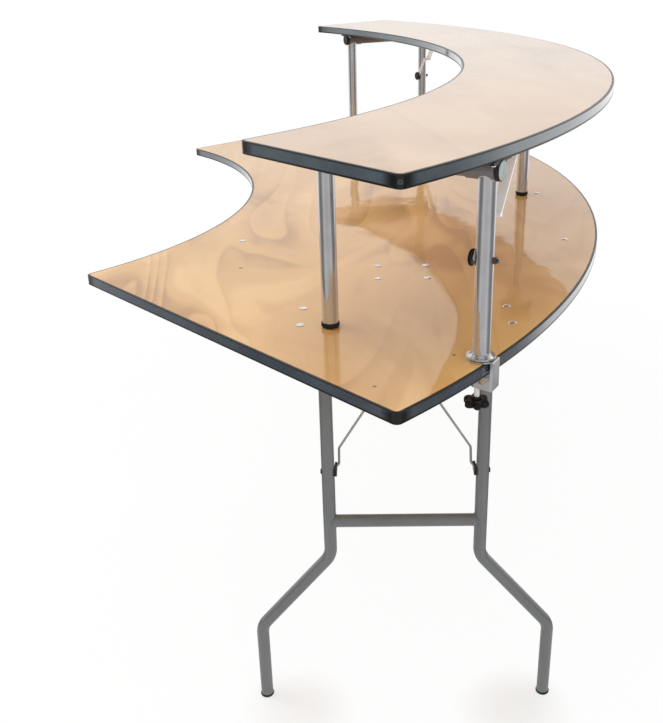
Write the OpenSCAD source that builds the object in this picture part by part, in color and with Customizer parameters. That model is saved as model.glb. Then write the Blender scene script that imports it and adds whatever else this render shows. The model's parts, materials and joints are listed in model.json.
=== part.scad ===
/* [Table] */
// Height of the table top above the floor
table_h = 762; // [720:1:800]
// Inner radius of the curved top
table_ri = 762; // [720:1:800]
// Outer radius of the curved top
table_ro = 1524; // [1480:1:1600]
// Half of the angle that the curved top sweeps
half_sweep = 45; // [44:0.5:47]
// Thickness of both boards
board_t = 18; // [15:0.5:22]
// Thickness of the soft edge band round both boards
band_t = 4; // [3:0.5:6]
// How far the rounded lip of the edge band is set back
band_lip = 1.2; // [0.5:0.1:2]
// Radius of the boards' corners, seen from above
corner_r = 10; // [8:1:20]

/* [Riser shelf] */
// Height of the shelf's top face above the table top
riser_h = 299; // [270:1:340]
// Width of the shelf from its inner to its outer edge
shelf_w = 292; // [280:1:310]
// How far the shelf reaches past the table's outer edge
shelf_over = 6; // [2:1:12]

/* [Folding legs] */
// Distance of a leg's hinge line from the middle of the table
hinge_y = 750; // [740:1:780]
// How far the legs stand in from the middle of the board's width
leg_setback = 45; // [30:1:60]
// Depth of the hinge line below the board
hinge_drop = 24; // [22:1:30]
// Diameter of the leg tubing
leg_d = 22; // [20:0.5:24]
// Wall of the leg tubing
leg_wall = 1.5; // [1:0.1:2.5]
// Distance between the two uprights of a leg
upright_gap = 259; // [240:1:290]
// Distance between the two feet of a leg
foot_gap = 516; // [460:1:560]
// Height of the upper bends above the floor
flare_z = 328; // [310:1:340]
// Angle of the flared stretch from the vertical
flare_angle = 40; // [36:0.5:45]
// Radius of the bends
bend_r = 40; // [30:1:60]
// Height of the crossbar above the floor
crossbar_z = 384; // [374:1:400]
// Height of the glide under each foot
glide_h = 5; // [4:0.5:12]
// How far the glide stands proud of the tube
glide_lip = 1.2; // [0.6:0.1:2.5]
// Distance of a hinge saddle from the nearest upright
saddle_out = 32; // [26:1:40]
// Width of a hinge saddle along the hinge line
saddle_w = 25; // [18:1:30]
// Thickness of the steel plate in saddles and brackets
plate_t = 2.5; // [2:0.1:3]
// Spacing of the two bolts of a hinge saddle
saddle_bolts = 70; // [62:1:80]
// How far a saddle's foot reaches past its bolts
saddle_lap = 10; // [8:0.5:12]
// How far the hinge tube reaches past its saddles
hinge_end = 4; // [2:0.5:8]

/* [Leg braces] */
// Distance of the brace's ceiling pivot from the hinge line
brace_reach = 160; // [150:1:175]
// Distance of the brace clip from the hinge line, along the upright
clip_drop = 237; // [225:1:250]
// Offset of the clip's pivot from the upright's axis
clip_off = 17; // [16:0.5:18]
// Diameter of the brace wires
wire_d = 5; // [4:0.5:6]
// Length of the straight start of each wire
wire_start = 30; // [20:1:40]
// Half of the distance between the two flat links
link_x = 54; // [50:1:62]
// Thickness of the flat links
link_t = 3; // [2:0.5:4]
// Height of the flat links
link_h = 9; // [8:0.5:10]
// Diameter of the brace pivots
brace_pin_d = 6; // [5:0.5:6.5]
// Spacing of the bracket's bolts across the leg
bracket_bolts_x = 86; // [76:1:92]
// Spacing of the bracket's bolts along the fold
bracket_bolts_y = 68; // [56:1:76]
// Distance of the bracket's bolts' middle from the hinge line
bracket_mid = 208; // [204:1:216]
// Depth of the ceiling pivot below the board
pin_drop = 7; // [6:0.5:8]
// How far the bracket's plate reaches past its bolts
bracket_lap = 12; // [9:0.5:16]
// Space between the bracket's plate and the links' eyes
bracket_clear = 3; // [2:0.5:5]
// Thickness of the ceiling pin's heads
pin_head_t = 2; // [1.5:0.1:3]
// Diameter of the ceiling pin's heads
pin_head_d = 9; // [8:0.5:12]
// Length of the clips' feet along the uprights' sides
clip_h = 14; // [12:0.5:16]
// Depth of the clips' seats round the uprights
clip_seat = 2; // [1:0.5:4]
// Diameter of the clips' rivet heads
rivet_d = 9; // [6:0.5:10]
// Height of those heads
rivet_h = 1.5; // [1:0.1:2.5]
// Thickness of the clips' ears
clip_t = 4; // [3:0.5:5]
// Radius of the clips' ears
clip_ear_r = 6.5; // [5:0.1:6.6]
// How far a wire passes inwards through its ear before it turns
wire_in = 3; // [3:0.1:6]
// How far a wire's end stands out behind its ear
wire_past = 3; // [2:0.5:4]
// How far a wire's straight start leans inwards
wire_lean = 0; // [0:0.5:4]

/* [Bolts] */
// Diameter of the bolts through the table top
bolt_d = 6; // [5:0.5:8]
// Diameter of the bolt heads
bolt_head_d = 13; // [11:0.5:16]
// Height of the low bolt heads
bolt_head_h = 1.6; // [1:0.1:3]
// Height of the nuts under the table
nut_h = 5; // [4:0.5:6]
// Distance of the middle spare bolt from the outer edge
spare_mid = 103; // [80:1:120]
// Distance of the inner pair of spare bolts from the inner edge
spare_inner = 103; // [80:1:120]
// Turn of the inner pair from the middle of the table
spare_inner_turn = 23.8; // [22:0.1:26]
// Distance of the outer pair of spare bolts from the outer edge
spare_outer = 61; // [50:1:80]
// Turn of the outer pair from the middle of the table
spare_outer_turn = 14.2; // [12:0.1:16]

/* [Riser frames] */
// Diameter of the posts and of the tube that they hang on
post_d = 25.4; // [22:0.1:28]
// Wall of the posts
post_wall = 1.5; // [1:0.1:2.5]
// Distance between the inner and the outer post of an end frame
post_span = 247; // [225:1:252]
// Distance of the outer post's axis from the table's outer edge
post_in = 17; // [16:0.5:22]
// Angle between the table's end and the outer post, from the centre
post_turn = 7.65; // [7:0.05:9]
// Turn of an end frame from the table's short axis
frame_turn = 29.6; // [27:0.1:32]
// Space between the posts' sleeves and the shelf above them
sleeve_space = 0.4; // [0.3:0.1:1.8]
// Angle that the riser's frames fold through
frame_fold = 84; // [80:1:85]
// Length of the sleeve on each post's top
sleeve_l = 42; // [30:1:50]
// Thickness of the sleeve's wall
sleeve_t = 1.5; // [1:0.1:1.6]
// Half of the length of the middle post's tube
mid_tube_half = 34; // [30:1:45]
// Offset of the middle post from the table's middle
mid_off = 15; // [0:1:20]
// Height of the rubber tip under a post
tip_h = 8; // [6:0.5:12]
// Width of the saddles that the tubes turn in
collar_w = 6; // [5:0.5:7]
// Wall of the saddles round the tube
collar_t = 1.6; // [1.2:0.1:3]
// Thickness of the saddles' feet
collar_foot_t = 4; // [3:0.5:5]
// Space between a post's tube and the nearest saddle
collar_space = 1.2; // [1:0.1:2]
// Distance between a saddle's two screws
collar_screws = 46; // [44:1:52]
// How far a saddle's foot reaches past its screws
collar_lap = 5; // [4.5:0.1:7]
// Thickness of the plugs in the tubes' ends
plug_t = 2; // [1.5:0.1:3]
// How far a plug's rim stands proud of the tube
plug_lip = 0.8; // [0.2:0.1:1]
// Length of the plugs inside the tubes
plug_l = 12; // [8:1:16]
// Diameter of the screws up into the shelf
shelf_screw_d = 3.2; // [3:0.1:4]
// Diameter of those screws' heads
shelf_head_d = 6.8; // [6:0.1:8]
// Height of those screws' heads
shelf_head_h = 1.8; // [1.4:0.1:2.4]

/* [Riser braces] */
// Distance of the brace's ceiling pivot from the hinge line
rbrace_reach = 87; // [80:1:92]
// Distance of the post's brace bolt from the hinge line
rbrace_drop = 121; // [116:1:125]
// Depth of the ceiling pivot below the shelf
rbrace_pin_drop = 5; // [4.9:0.1:5.4]
// Width of the upper strip of a brace
strip_w = 14; // [10:1:16]
// Thickness of the upper strip
strip_t = 3; // [2:0.2:4]
// Radius of the eyes of the upper strip
eye_r = 3.8; // [3.6:0.1:4.2]
// Diameter of the ceiling pivot's pin
rpin_d = 5; // [4:0.2:5.2]
// Thickness of the side link
side_t = 2; // [1.5:0.1:2.5]
// Height of the side link
side_h = 9; // [8:0.5:9.4]
// Diameter of the bolt through the post
rbolt_d = 6; // [5:0.5:7]
// Diameter of the black cap on that bolt
cap_d = 24; // [16:1:25]
// Height of the black cap
cap_h = 3; // [2:0.5:6]
// How far the cap's skirt laps the bolt's head
cap_lap = 1.6; // [1:0.1:1.9]
// Thickness of the bolt's head under the cap
rbolt_head_t = 2; // [2:0.1:3]
// Height of the bolt's nut
rnut_h = 5; // [4:0.5:6]
// Radius of the bolt's nut over its corners
rnut_r = 5; // [4.5:0.1:6]
// How far the bolt stands out of its nut
rbolt_past = 3; // [2:0.5:4]
// Thickness of the ears under the shelf
ear_t = 2; // [1.5:0.1:2.5]
// Width of the ears' feet across the brace
ear_foot_w = 16; // [14:0.5:20]
// Length of the ears' feet along the brace
ear_foot_l = 18; // [14:1:24]
// Metal of the ears past the strip's eyes
ear_lip = 0.2; // [0:0.1:0.4]

/* [Clamps] */
// Width of a clamp
clamp_w = 24; // [20:1:26]
// Thickness of the clamp's upper jaw
jaw_t = 2.5; // [2:0.1:5]
// Thickness of the clamp's lower jaw
low_jaw_t = 8.5; // [8:0.5:12]
// How far the lower jaw rises towards the back
arm_rise = 9; // [4:0.5:10]
// Radius of the lower jaw's boss round the screw
boss_r = 9; // [8:0.5:11]
// Thickness of the clamp's back
back_t = 4.5; // [4:0.5:10]
// Free height between the board and the lower jaw
throat = 16; // [14:0.5:22]
// Distance of the screw from the post's axis, inwards
screw_in = 4.5; // [2:0.5:8]
// Radius of the clamp's outer corners
clamp_round = 2; // [1:0.1:2.2]
// Diameter of the clamp's screw
screw_d = 8; // [6:0.5:10]
// Length of the bare screw below the jaw
screw_bare = 16.5; // [5:0.5:20]
// Diameter of the pad on the screw
pad_d = 20; // [14:0.5:24]
// Height of the pad
pad_h = 5; // [4:0.5:7]
// Diameter of the star knob over its lobes
knob_d = 39; // [30:1:44]
// Height of the star knob
knob_h = 15; // [12:1:26]
// Height of the hub above the knob's lobes
hub_h = 3; // [2:0.5:5]
// Radius of that hub
hub_r = 7.8; // [7:0.1:9]
// Number of the star knob's lobes
knob_lobes = 6; // [5:1:8]
// Thickness of the post's foot flange
flange_t = 2.5; // [2:0.1:4]
// Radius of the foot flange and of the clamp's plate under it
flange_r = 21; // [20.8:0.1:21.5]
// Distance of the foot flange's screws from the post's axis
flange_ring = 16.8; // [16.7:0.1:17.2]
// Number of the foot flange's screws
flange_screws = 3; // [3:1:4]
// Turn of the first of them from the frame's line
flange_turn = -15; // [-60:1:60]
// Diameter of the foot flange's screws
flange_screw_d = 5; // [4:0.5:6]
// Diameter of those screws' heads
flange_head_d = 7.6; // [7:0.1:7.8]
// Height of those screws' heads
flange_head_h = 2.6; // [2:0.1:3.5]

/* [Clearances] */
// Gap between pieces that lie against each other on different bodies
seat_gap = 0.3; // [0.2:0.05:0.5]
// Gap under the posts that swing
swing_gap = 0.95; // [0.9:0.05:1]
// Radial clearance of pins and tubes that turn
run_gap = 0.08; // [0.03:0.01:0.1]
// Gap between fixed curved faces
fix_gap = 0.05; // [0.02:0.01:0.1]
// Side gap between links that pass each other
side_gap = 0.5; // [0.4:0.1:0.8]

/* [Hidden] */
$fn = 64;
arc_fn = 360;

// Boards
table_under = table_h - board_t;
shelf_top = table_h + riser_h;
shelf_under = shelf_top - board_t;
shelf_ro = table_ro + shelf_over;
shelf_ri = shelf_ro - shelf_w;

// The inner corner's fillet is the table's nearest point to the centre of the arcs
inner_fillet_r = table_ri + corner_r;
inner_fillet_s = sqrt(inner_fillet_r * inner_fillet_r - corner_r * corner_r);
x_min = inner_fillet_s * cos(half_sweep) + corner_r * sin(half_sweep) - corner_r;
origin_x = (x_min + shelf_ro) / 2;

// Legs, drawn at the hinge line with the fold towards +Y
leg_r = leg_d / 2;
leg_x = (table_ri + table_ro) / 2 - leg_setback;
hinge_z = table_under - hinge_drop;
upright_x = upright_gap / 2;
flare_out = (foot_gap - upright_gap) / 2;
flare_len = (flare_out - 2 * bend_r * (1 - cos(flare_angle))) / sin(flare_angle);
foot_bend_z = flare_z - 2 * bend_r * sin(flare_angle) - flare_len * cos(flare_angle);
saddle_x = upright_x + saddle_out;
hinge_half = saddle_x + saddle_w / 2 + hinge_end;
saddle_r = leg_r + run_gap;

// Leg braces: C on the clip, B at the ceiling, J between the wires and the links
brace_b = [brace_reach, table_under - pin_drop];
brace_c = [clip_off, hinge_z - clip_drop];
brace_line = norm(brace_b - brace_c);
brace_c_folded = clip_drop;
wire_len = (brace_line - (brace_c_folded - brace_reach)) / 2;
link_len = brace_line - wire_len;
brace_dir = (brace_b - brace_c) / brace_line;
brace_j = brace_c + wire_len * brace_dir;
link_eye = link_h / 2;
wire_stop = link_t / 2;
ear_x = link_x - link_t / 2 - side_gap;
clip_x = upright_x - leg_r - clip_t / 2;
pin_x = link_x + link_t / 2 + side_gap;

// Riser frames, drawn at the inner post with x along the tube and the fold towards +y
post_r = post_d / 2;
sleeve_r = post_r + sleeve_t;
tube_drop = sleeve_r + sleeve_space;
tube_z = shelf_under - tube_drop;
outer_post_r = table_ro - post_in;
outer_post_a = half_sweep - post_turn;
outer_post = outer_post_r * [cos(outer_post_a), -sin(outer_post_a)];
inner_post = outer_post - post_span * [cos(frame_turn), -sin(frame_turn)];
mid_post_x = (shelf_ri + shelf_ro) / 2;
collar_out = post_r + collar_space;
tube_stop = collar_out + collar_w + seat_gap;
collar_bore = post_r + run_gap;
collar_r = collar_bore + collar_t;

// Riser braces: C on the post, B at the ceiling, J between the side link and the strip
rbrace_b = [rbrace_reach, shelf_under - rbrace_pin_drop];
rbrace_c = [0, tube_z - rbrace_drop];
rbrace_line = norm(rbrace_b - rbrace_c);
rbrace_rise = tube_drop - rbrace_pin_drop + rbrace_drop * cos(frame_fold);
rbrace_gap = rbrace_drop * sin(frame_fold) - rbrace_reach;
// Folded, the strip lies level and the side link slopes back down to the post's bolt
strip_len = (rbrace_line * rbrace_line - rbrace_gap * rbrace_gap - rbrace_rise * rbrace_rise)
    / (2 * (rbrace_line - rbrace_gap));
side_len = rbrace_line - strip_len;
rbrace_dir = (rbrace_b - rbrace_c) / rbrace_line;
rbrace_j = rbrace_c + side_len * rbrace_dir;
side_x = post_r + side_gap;
side_out = side_x + side_t;
bolt_seat = side_out + side_gap;
nut_seat = post_r + fix_gap;
ear_in = strip_w / 2 + side_gap;
ear_r = eye_r + ear_lip;
ear_screw_x = ear_in + ear_t + (ear_foot_w - ear_t) / 2;
cap_round = 1.2;

// Clamps, drawn at the outer post with x outwards
jaw_z = table_h + seat_gap;
jaw_top = jaw_z + jaw_t;
edge_along = outer_post_r * cos(outer_post_a - frame_turn);
edge_across = outer_post_r * sin(outer_post_a - frame_turn) - clamp_w / 2;
back_x = sqrt(pow(table_ro, 2) - pow(edge_across, 2)) - edge_along + seat_gap;
low_jaw_top = table_under - throat;
low_jaw_bottom = low_jaw_top - low_jaw_t;
pad_top = table_under - seat_gap;
pad_bottom = pad_top - pad_h;
screw_x = -screw_in;
screw_top = pad_bottom + pad_h / 2;
knob_top = low_jaw_bottom - screw_bare;
knob_core_r = knob_d / 3;
lobe_r = knob_d / 7;
flange_bottom = jaw_top + swing_gap;
flange_top = flange_bottom + flange_t;
tip_bottom = table_h + swing_gap;
tip_floor = 3;
tip_wall = 1.2;
tip_chamfer = 1.5;

// Mirrors the near half of the table onto its far half
module mirrored(far) {
    mirror([0, far ? 1 : 0, 0]) children();
}

// Puts a piece drawn round the centre of the arcs into the part's frame
module from_centre() {
    translate([-origin_x, 0, 0]) children();
}

// A piece of a leg, drawn with the hinge line along x at y = 0
module on_leg(far = false) {
    from_centre() mirrored(far) translate([leg_x, -hinge_y, 0]) children();
}

// A piece of an end frame, drawn from its inner post with x along the tube
module on_frame(far = false) {
    from_centre() mirrored(far) translate([inner_post[0], inner_post[1], 0])
        rotate([0, 0, -frame_turn]) children();
}

// A piece of an end frame, drawn from its outer post
module on_outer_post(far = false) {
    on_frame(far) translate([post_span, 0, 0]) children();
}

// A piece of the middle post's frame
module on_mid() {
    from_centre() translate([mid_post_x, -mid_off, 0]) children();
}

// A round bar between two points
module rod(a, b, r) {
    d = b - a;
    length = norm(d);
    translate(a) rotate([0, acos(d[2] / length), atan2(d[1], d[0])]) cylinder(h = length, r = r);
}

// A bar along x with its middle at a point
module x_bar(p, length, r) {
    translate([p[0] - length / 2, p[1], p[2]]) rotate([0, 90, 0]) cylinder(h = length, r = r);
}

// Waste outside one rounded corner; dir is 1 on the outer arc and -1 on the inner one
module corner_waste(r, dir, inset) {
    mid_r = r - dir * corner_r;
    c = [sqrt(mid_r * mid_r - corner_r * corner_r), -corner_r];
    past = r + dir * 2;
    difference() {
        polygon([c, [c[0], 1], [past, 1], c * past / mid_r]);
        translate(c) circle(r = corner_r - inset);
    }
}

// Outline of a curved board, drawn in by inset all round
module board_outline(ri, ro, inset) {
    difference() {
        circle(r = ro - inset, $fn = arc_fn);
        circle(r = ri + inset, $fn = arc_fn);
        for (side = [0, 1]) mirror([0, side]) rotate(half_sweep) {
            translate([-2 * ro, -inset]) square([4 * ro, 3 * ro]);
            corner_waste(ro, 1, inset);
            corner_waste(ri, -1, inset);
        }
    }
}

module board(ri, ro, z) {
    translate([0, 0, z]) linear_extrude(height = board_t)
        board_outline(ri, ro, band_t + fix_gap);
}

module edge_band(ri, ro, z) {
    difference() {
        union() {
            translate([0, 0, z + band_lip]) linear_extrude(height = board_t - 2 * band_lip)
                board_outline(ri, ro, 0);
            translate([0, 0, z]) linear_extrude(height = board_t)
                board_outline(ri, ro, band_lip);
        }
        translate([0, 0, z - 1]) linear_extrude(height = board_t + 2)
            board_outline(ri, ro, band_t);
    }
}

// Places of the bolts that hold a leg's two hinge saddles and its brace bracket
function saddle_bolt_places() = [
    for (x = [-saddle_x, saddle_x], y = [-saddle_bolts / 2, saddle_bolts / 2]) [x, y]
];
function bracket_bolt_places() = [
    for (x = [-1, 1], y = [-1, 1])
        [x * bracket_bolts_x / 2, bracket_mid + y * bracket_bolts_y / 2]
];
// Places of the single bolts, round the centre of the arcs
function polar(r, a) = r * [cos(a), sin(a)];
function spare_bolt_places() = [
    [table_ro - spare_mid, 0],
    for (side = [-1, 1]) polar(table_ri + spare_inner, side * spare_inner_turn),
    for (side = [-1, 1]) polar(table_ro - spare_outer, side * spare_outer_turn)
];

module bolt_hole() {
    translate([0, 0, table_under - 1]) cylinder(h = board_t + 2, r = bolt_d / 2 + fix_gap);
}

module bolt_holes() {
    for (far = [false, true]) mirrored(far) translate([leg_x, -hinge_y, 0])
        for (p = concat(saddle_bolt_places(), bracket_bolt_places())) translate(p) bolt_hole();
    for (p = spare_bolt_places()) translate(p) bolt_hole();
}

module table_top() {
    color("burlywood") from_centre() difference() {
        board(table_ri, table_ro, table_under);
        bolt_holes();
    }
}

module table_edge_band() {
    color([0.16, 0.18, 0.21]) from_centre() edge_band(table_ri, table_ro, table_under);
}

// Strap that holds the hinge tube up against the board
module hinge_saddle() {
    foot_y = saddle_bolts / 2 + saddle_lap;
    difference() {
        translate([-saddle_w / 2, 0, 0]) rotate([90, 0, 90]) linear_extrude(height = saddle_w) {
            difference() {
                union() {
                    translate([0, hinge_z]) circle(r = saddle_r + plate_t);
                    translate([-saddle_r - plate_t, hinge_z])
                        square([2 * (saddle_r + plate_t), hinge_drop]);
                    translate([-foot_y, table_under - plate_t]) square([2 * foot_y, plate_t]);
                }
                translate([0, hinge_z]) circle(r = saddle_r);
                translate([-saddle_r, hinge_z]) square([2 * saddle_r, hinge_drop - plate_t]);
            }
        }
        for (y = [-saddle_bolts / 2, saddle_bolts / 2])
            translate([0, y, table_under - plate_t - 1])
                cylinder(h = plate_t + 2, r = bolt_d / 2 + fix_gap);
    }
}

module hinge_saddles() {
    color([0.42, 0.42, 0.43]) for (far = [false, true]) on_leg(far)
        for (x = [-saddle_x, saddle_x]) translate([x, 0, 0]) hinge_saddle();
}

// Ceiling plate of a leg brace, with two ears and the pin that the links turn on
module brace_bracket() {
    plate_y0 = brace_reach + link_eye + bracket_clear;
    plate_y1 = bracket_mid + bracket_bolts_y / 2 + bracket_lap;
    ear_end = plate_y0 - brace_reach + bracket_lap;
    difference() {
        translate([-ear_x, plate_y0, table_under - plate_t])
            cube([2 * ear_x, plate_y1 - plate_y0, plate_t]);
        for (p = bracket_bolt_places()) translate([p[0], p[1], table_under - plate_t - 1])
            cylinder(h = plate_t + 2, r = bolt_d / 2 + fix_gap);
    }
    for (s = [-1, 1]) {
        x0 = s > 0 ? ear_x - plate_t : -ear_x;
        translate([x0, brace_reach, 0]) rotate([90, 0, 90]) linear_extrude(height = plate_t) {
            translate([0, brace_b[1]]) circle(r = pin_drop);
            translate([0, brace_b[1]]) square([ear_end, pin_drop]);
        }
        x_bar([s * (pin_x + pin_head_t / 2), brace_b[0], brace_b[1]], pin_head_t, pin_head_d / 2);
    }
    x_bar([0, brace_b[0], brace_b[1]], 2 * pin_x, brace_pin_d / 2);
}

module brace_brackets() {
    color([0.42, 0.42, 0.43]) for (far = [false, true]) on_leg(far) brace_bracket();
}

// Low-headed bolt through the board, with its nut under what it holds
module table_bolt(held_t) {
    translate([0, 0, table_h]) cylinder(h = bolt_head_h, r = bolt_head_d / 2);
    translate([0, 0, table_under - held_t - nut_h]) {
        cylinder(h = board_t + held_t + nut_h, r = bolt_d / 2);
        cylinder(h = nut_h, r = bolt_d, $fn = 6);
    }
}

module table_bolts() {
    color("lightgray") {
        for (far = [false, true]) on_leg(far)
            for (p = concat(saddle_bolt_places(), bracket_bolt_places()))
                translate(p) table_bolt(plate_t);
        from_centre() for (p = spare_bolt_places()) translate(p) table_bolt(0);
    }
}

module hinge_tube(far) {
    color([0.42, 0.42, 0.43]) on_leg(far) difference() {
        x_bar([0, 0, hinge_z], 2 * hinge_half, leg_r);
        x_bar([0, 0, hinge_z], 2 * hinge_half + 2, leg_r - leg_wall);
    }
}

// Straight stretch of leg tubing, downwards from the origin; thin draws its wall in on both faces
module leg_pipe(length, thin = 0) {
    translate([0, 0, -length]) difference() {
        cylinder(h = length, r = leg_r - thin);
        translate([0, 0, -1]) cylinder(h = length + 2, r = leg_r - leg_wall + thin);
    }
}

// Bend in the plane of the leg, starting at the angle from +x towards +z
module leg_bend(from) {
    rotate([90, 0, 0]) rotate([0, 0, from])
        rotate_extrude(angle = flare_angle) translate([bend_r, 0]) difference() {
            circle(r = leg_r);
            circle(r = leg_r - leg_wall);
        }
}

// One upright with its flare and foot; the slanted stretch is pressed into the two bends
module leg_run() {
    press = 1;
    thin = 0.1;
    translate([0, 0, hinge_z]) leg_pipe(hinge_z - flare_z);
    translate([bend_r, 0, flare_z]) leg_bend(180);
    translate([bend_r, 0, flare_z]) rotate([0, -flare_angle, 0]) translate([-bend_r, 0, press])
        leg_pipe(flare_len + 2 * press, thin);
    translate([flare_out - bend_r, 0, foot_bend_z]) {
        leg_bend(0);
        translate([bend_r, 0, 0]) leg_pipe(foot_bend_z - glide_h / 4);
    }
}

module leg_tubes(far) {
    color([0.42, 0.42, 0.43]) on_leg(far) for (side = [0, 1]) mirror([side, 0, 0])
        translate([upright_x, 0, 0]) difference() {
            leg_run();
            x_bar([0, 0, hinge_z], 3 * leg_d, leg_r + fix_gap);
        }
}

module crossbar(far) {
    color([0.42, 0.42, 0.43]) on_leg(far) difference() {
        x_bar([0, 0, crossbar_z], upright_gap, leg_r);
        x_bar([0, 0, crossbar_z], upright_gap + 2, leg_r - leg_wall);
        for (x = [-upright_x, upright_x]) translate([x, 0, crossbar_z - leg_d])
            cylinder(h = 2 * leg_d, r = leg_r + fix_gap);
    }
}

// Cup that caps a foot and stands on the floor
module leg_glides(far) {
    color([0.1, 0.1, 0.1]) on_leg(far) for (s = [-1, 1])
        translate([s * (upright_x + flare_out), 0, 0]) difference() {
            cylinder(h = glide_h, r = leg_r + glide_lip);
            translate([0, 0, glide_h / 4]) cylinder(h = glide_h, r = leg_r + fix_gap);
        }
}

// Ear on the upright's inner side for the brace wire, and its rivet's head outside
module brace_clips(far) {
    color([0.12, 0.12, 0.13]) on_leg(far) for (side = [0, 1]) mirror([side, 0, 0]) difference() {
        union() {
            translate([clip_x - clip_t / 2, 0, brace_c[1]]) rotate([90, 0, 90])
                linear_extrude(height = clip_t) {
                    translate([-clip_h / 2, -clip_ear_r])
                        square([clip_off + clip_h / 2, 2 * clip_ear_r]);
                    translate([clip_off, 0]) circle(r = clip_ear_r);
                }
            translate([clip_x, -clip_h / 2, brace_c[1] - clip_ear_r])
                cube([clip_t / 2 + clip_seat, clip_h, 2 * clip_ear_r]);
            x_bar([upright_x + leg_r, 0, brace_c[1]], 2 * rivet_h, rivet_d / 2);
        }
        translate([upright_x, 0, brace_c[1] - clip_h])
            cylinder(h = 2 * clip_h, r = leg_r + fix_gap);
        x_bar([clip_x, brace_c[0], brace_c[1]], 3 * clip_t, wire_d / 2 + run_gap);
    }
}

// Two bent wires from the clips to the joint; their eyes stop beside the links
module brace_wires(far) {
    r = wire_d / 2;
    turn_x = clip_x - clip_t / 2 - wire_in;
    bend_yz = brace_c + wire_start * brace_dir;
    end_yz = brace_j - wire_stop * brace_dir;
    start = [turn_x, brace_c[0], brace_c[1]];
    bend = [turn_x - wire_lean, bend_yz[0], bend_yz[1]];
    eye_x = pin_x + link_t / 2;
    color("silver") on_leg(far) for (side = [0, 1]) mirror([side, 0, 0]) {
        rod(start, [clip_x + clip_t / 2 + wire_past, brace_c[0], brace_c[1]], r);
        translate(start) sphere(r = r + fix_gap);
        rod(start, bend, r);
        translate(bend) sphere(r = r + fix_gap);
        rod(bend, [eye_x + r, end_yz[0], end_yz[1]], r);
        x_bar([eye_x, brace_j[0], brace_j[1]], link_t, link_eye);
    }
}

// Two flat links on the ceiling pin, tied by a rod at the joint
module brace_links(far) {
    color([0.2, 0.2, 0.21]) on_leg(far) {
        difference() {
            for (s = [-1, 1]) translate([s * link_x - link_t / 2, brace_b[0], brace_b[1]])
                rotate([atan2(brace_dir[1], brace_dir[0]), 0, 0]) {
                    translate([0, -link_len, -link_h / 2]) cube([link_t, link_len, link_h]);
                    rotate([0, 90, 0]) cylinder(h = link_t, r = link_eye);
                    translate([0, -link_len, 0]) rotate([0, 90, 0]) cylinder(h = link_t, r = link_eye);
                }
            x_bar([0, brace_b[0], brace_b[1]], 3 * link_x, brace_pin_d / 2 + run_gap);
        }
        x_bar([0, brace_j[0], brace_j[1]], 2 * link_x - link_t, brace_pin_d / 2);
    }
}

module riser_top() {
    color("wheat") from_centre() board(shelf_ri, shelf_ro, shelf_under);
}

module riser_edge_band() {
    color([0.16, 0.18, 0.21]) from_centre() edge_band(shelf_ri, shelf_ro, shelf_under);
}

// Places along a frame's tube where its saddles start
function end_collars() = [-collar_out - collar_w, post_span + collar_out];
function mid_collars() = [-mid_tube_half + plug_t, mid_tube_half - plug_t - collar_w];

module collar(x) {
    foot_y = collar_screws / 2 + collar_lap;
    difference() {
        translate([x, 0, 0]) rotate([90, 0, 90]) linear_extrude(height = collar_w) difference() {
            union() {
                translate([0, tube_z]) circle(r = collar_r);
                translate([-collar_r, tube_z]) square([2 * collar_r, tube_drop]);
                translate([-foot_y, shelf_under - collar_foot_t]) square([2 * foot_y, collar_foot_t]);
            }
            translate([0, tube_z]) circle(r = collar_bore);
            translate([-collar_r, shelf_under]) square([2 * collar_r, collar_r]);
        }
        for (y = [-collar_screws / 2, collar_screws / 2])
            translate([x + collar_w / 2, y, shelf_under - 2 * collar_foot_t])
                cylinder(h = 3 * collar_foot_t, r = shelf_screw_d / 2 + fix_gap);
    }
}

module riser_saddles() {
    color([0.1, 0.1, 0.1]) {
        for (far = [false, true]) on_frame(far) for (x = end_collars()) collar(x);
        on_mid() for (x = mid_collars()) collar(x);
    }
}

// Two ears under the shelf and the pin that the upper strip turns on
module riser_bracket() {
    pin_half = ear_in + ear_t;
    for (side = [0, 1]) mirror([side, 0, 0]) difference() {
        union() {
            translate([ear_in, rbrace_b[0], rbrace_b[1]]) rotate([0, 90, 0])
                cylinder(h = ear_t, r = ear_r);
            translate([ear_in, rbrace_b[0] - ear_r, rbrace_b[1]])
                cube([ear_t, 2 * ear_r, rbrace_pin_drop]);
            translate([ear_in, rbrace_b[0] - ear_foot_l / 2, shelf_under - ear_t])
                cube([ear_foot_w, ear_foot_l, ear_t]);
        }
        translate([ear_screw_x, rbrace_b[0], shelf_under - 2 * ear_t])
            cylinder(h = 3 * ear_t, r = shelf_screw_d / 2 + fix_gap);
    }
    x_bar([0, rbrace_b[0], rbrace_b[1]], 2 * pin_half - ear_t, rpin_d / 2);
}

module riser_brackets() {
    color("silver") {
        for (far = [false, true]) on_outer_post(far) riser_bracket();
        on_mid() riser_bracket();
    }
}

// Wood screw up into the shelf, with its head under what it holds
module shelf_screw(x, y, held_t) {
    translate([x, y, shelf_under - held_t - shelf_head_h])
        cylinder(h = shelf_head_h, r = shelf_head_d / 2);
    translate([x, y, shelf_under - held_t]) cylinder(h = held_t - fix_gap, r = shelf_screw_d / 2);
}

module frame_screws(starts) {
    for (x = starts, y = [-collar_screws / 2, collar_screws / 2])
        shelf_screw(x + collar_w / 2, y, collar_foot_t);
}

module bracket_screws() {
    for (s = [-1, 1]) shelf_screw(s * ear_screw_x, rbrace_b[0], ear_t);
}

module riser_screws() {
    color("gray") {
        for (far = [false, true]) {
            on_frame(far) frame_screws(end_collars());
            on_outer_post(far) bracket_screws();
        }
        on_mid() {
            frame_screws(mid_collars());
            bracket_screws();
        }
    }
}

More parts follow.
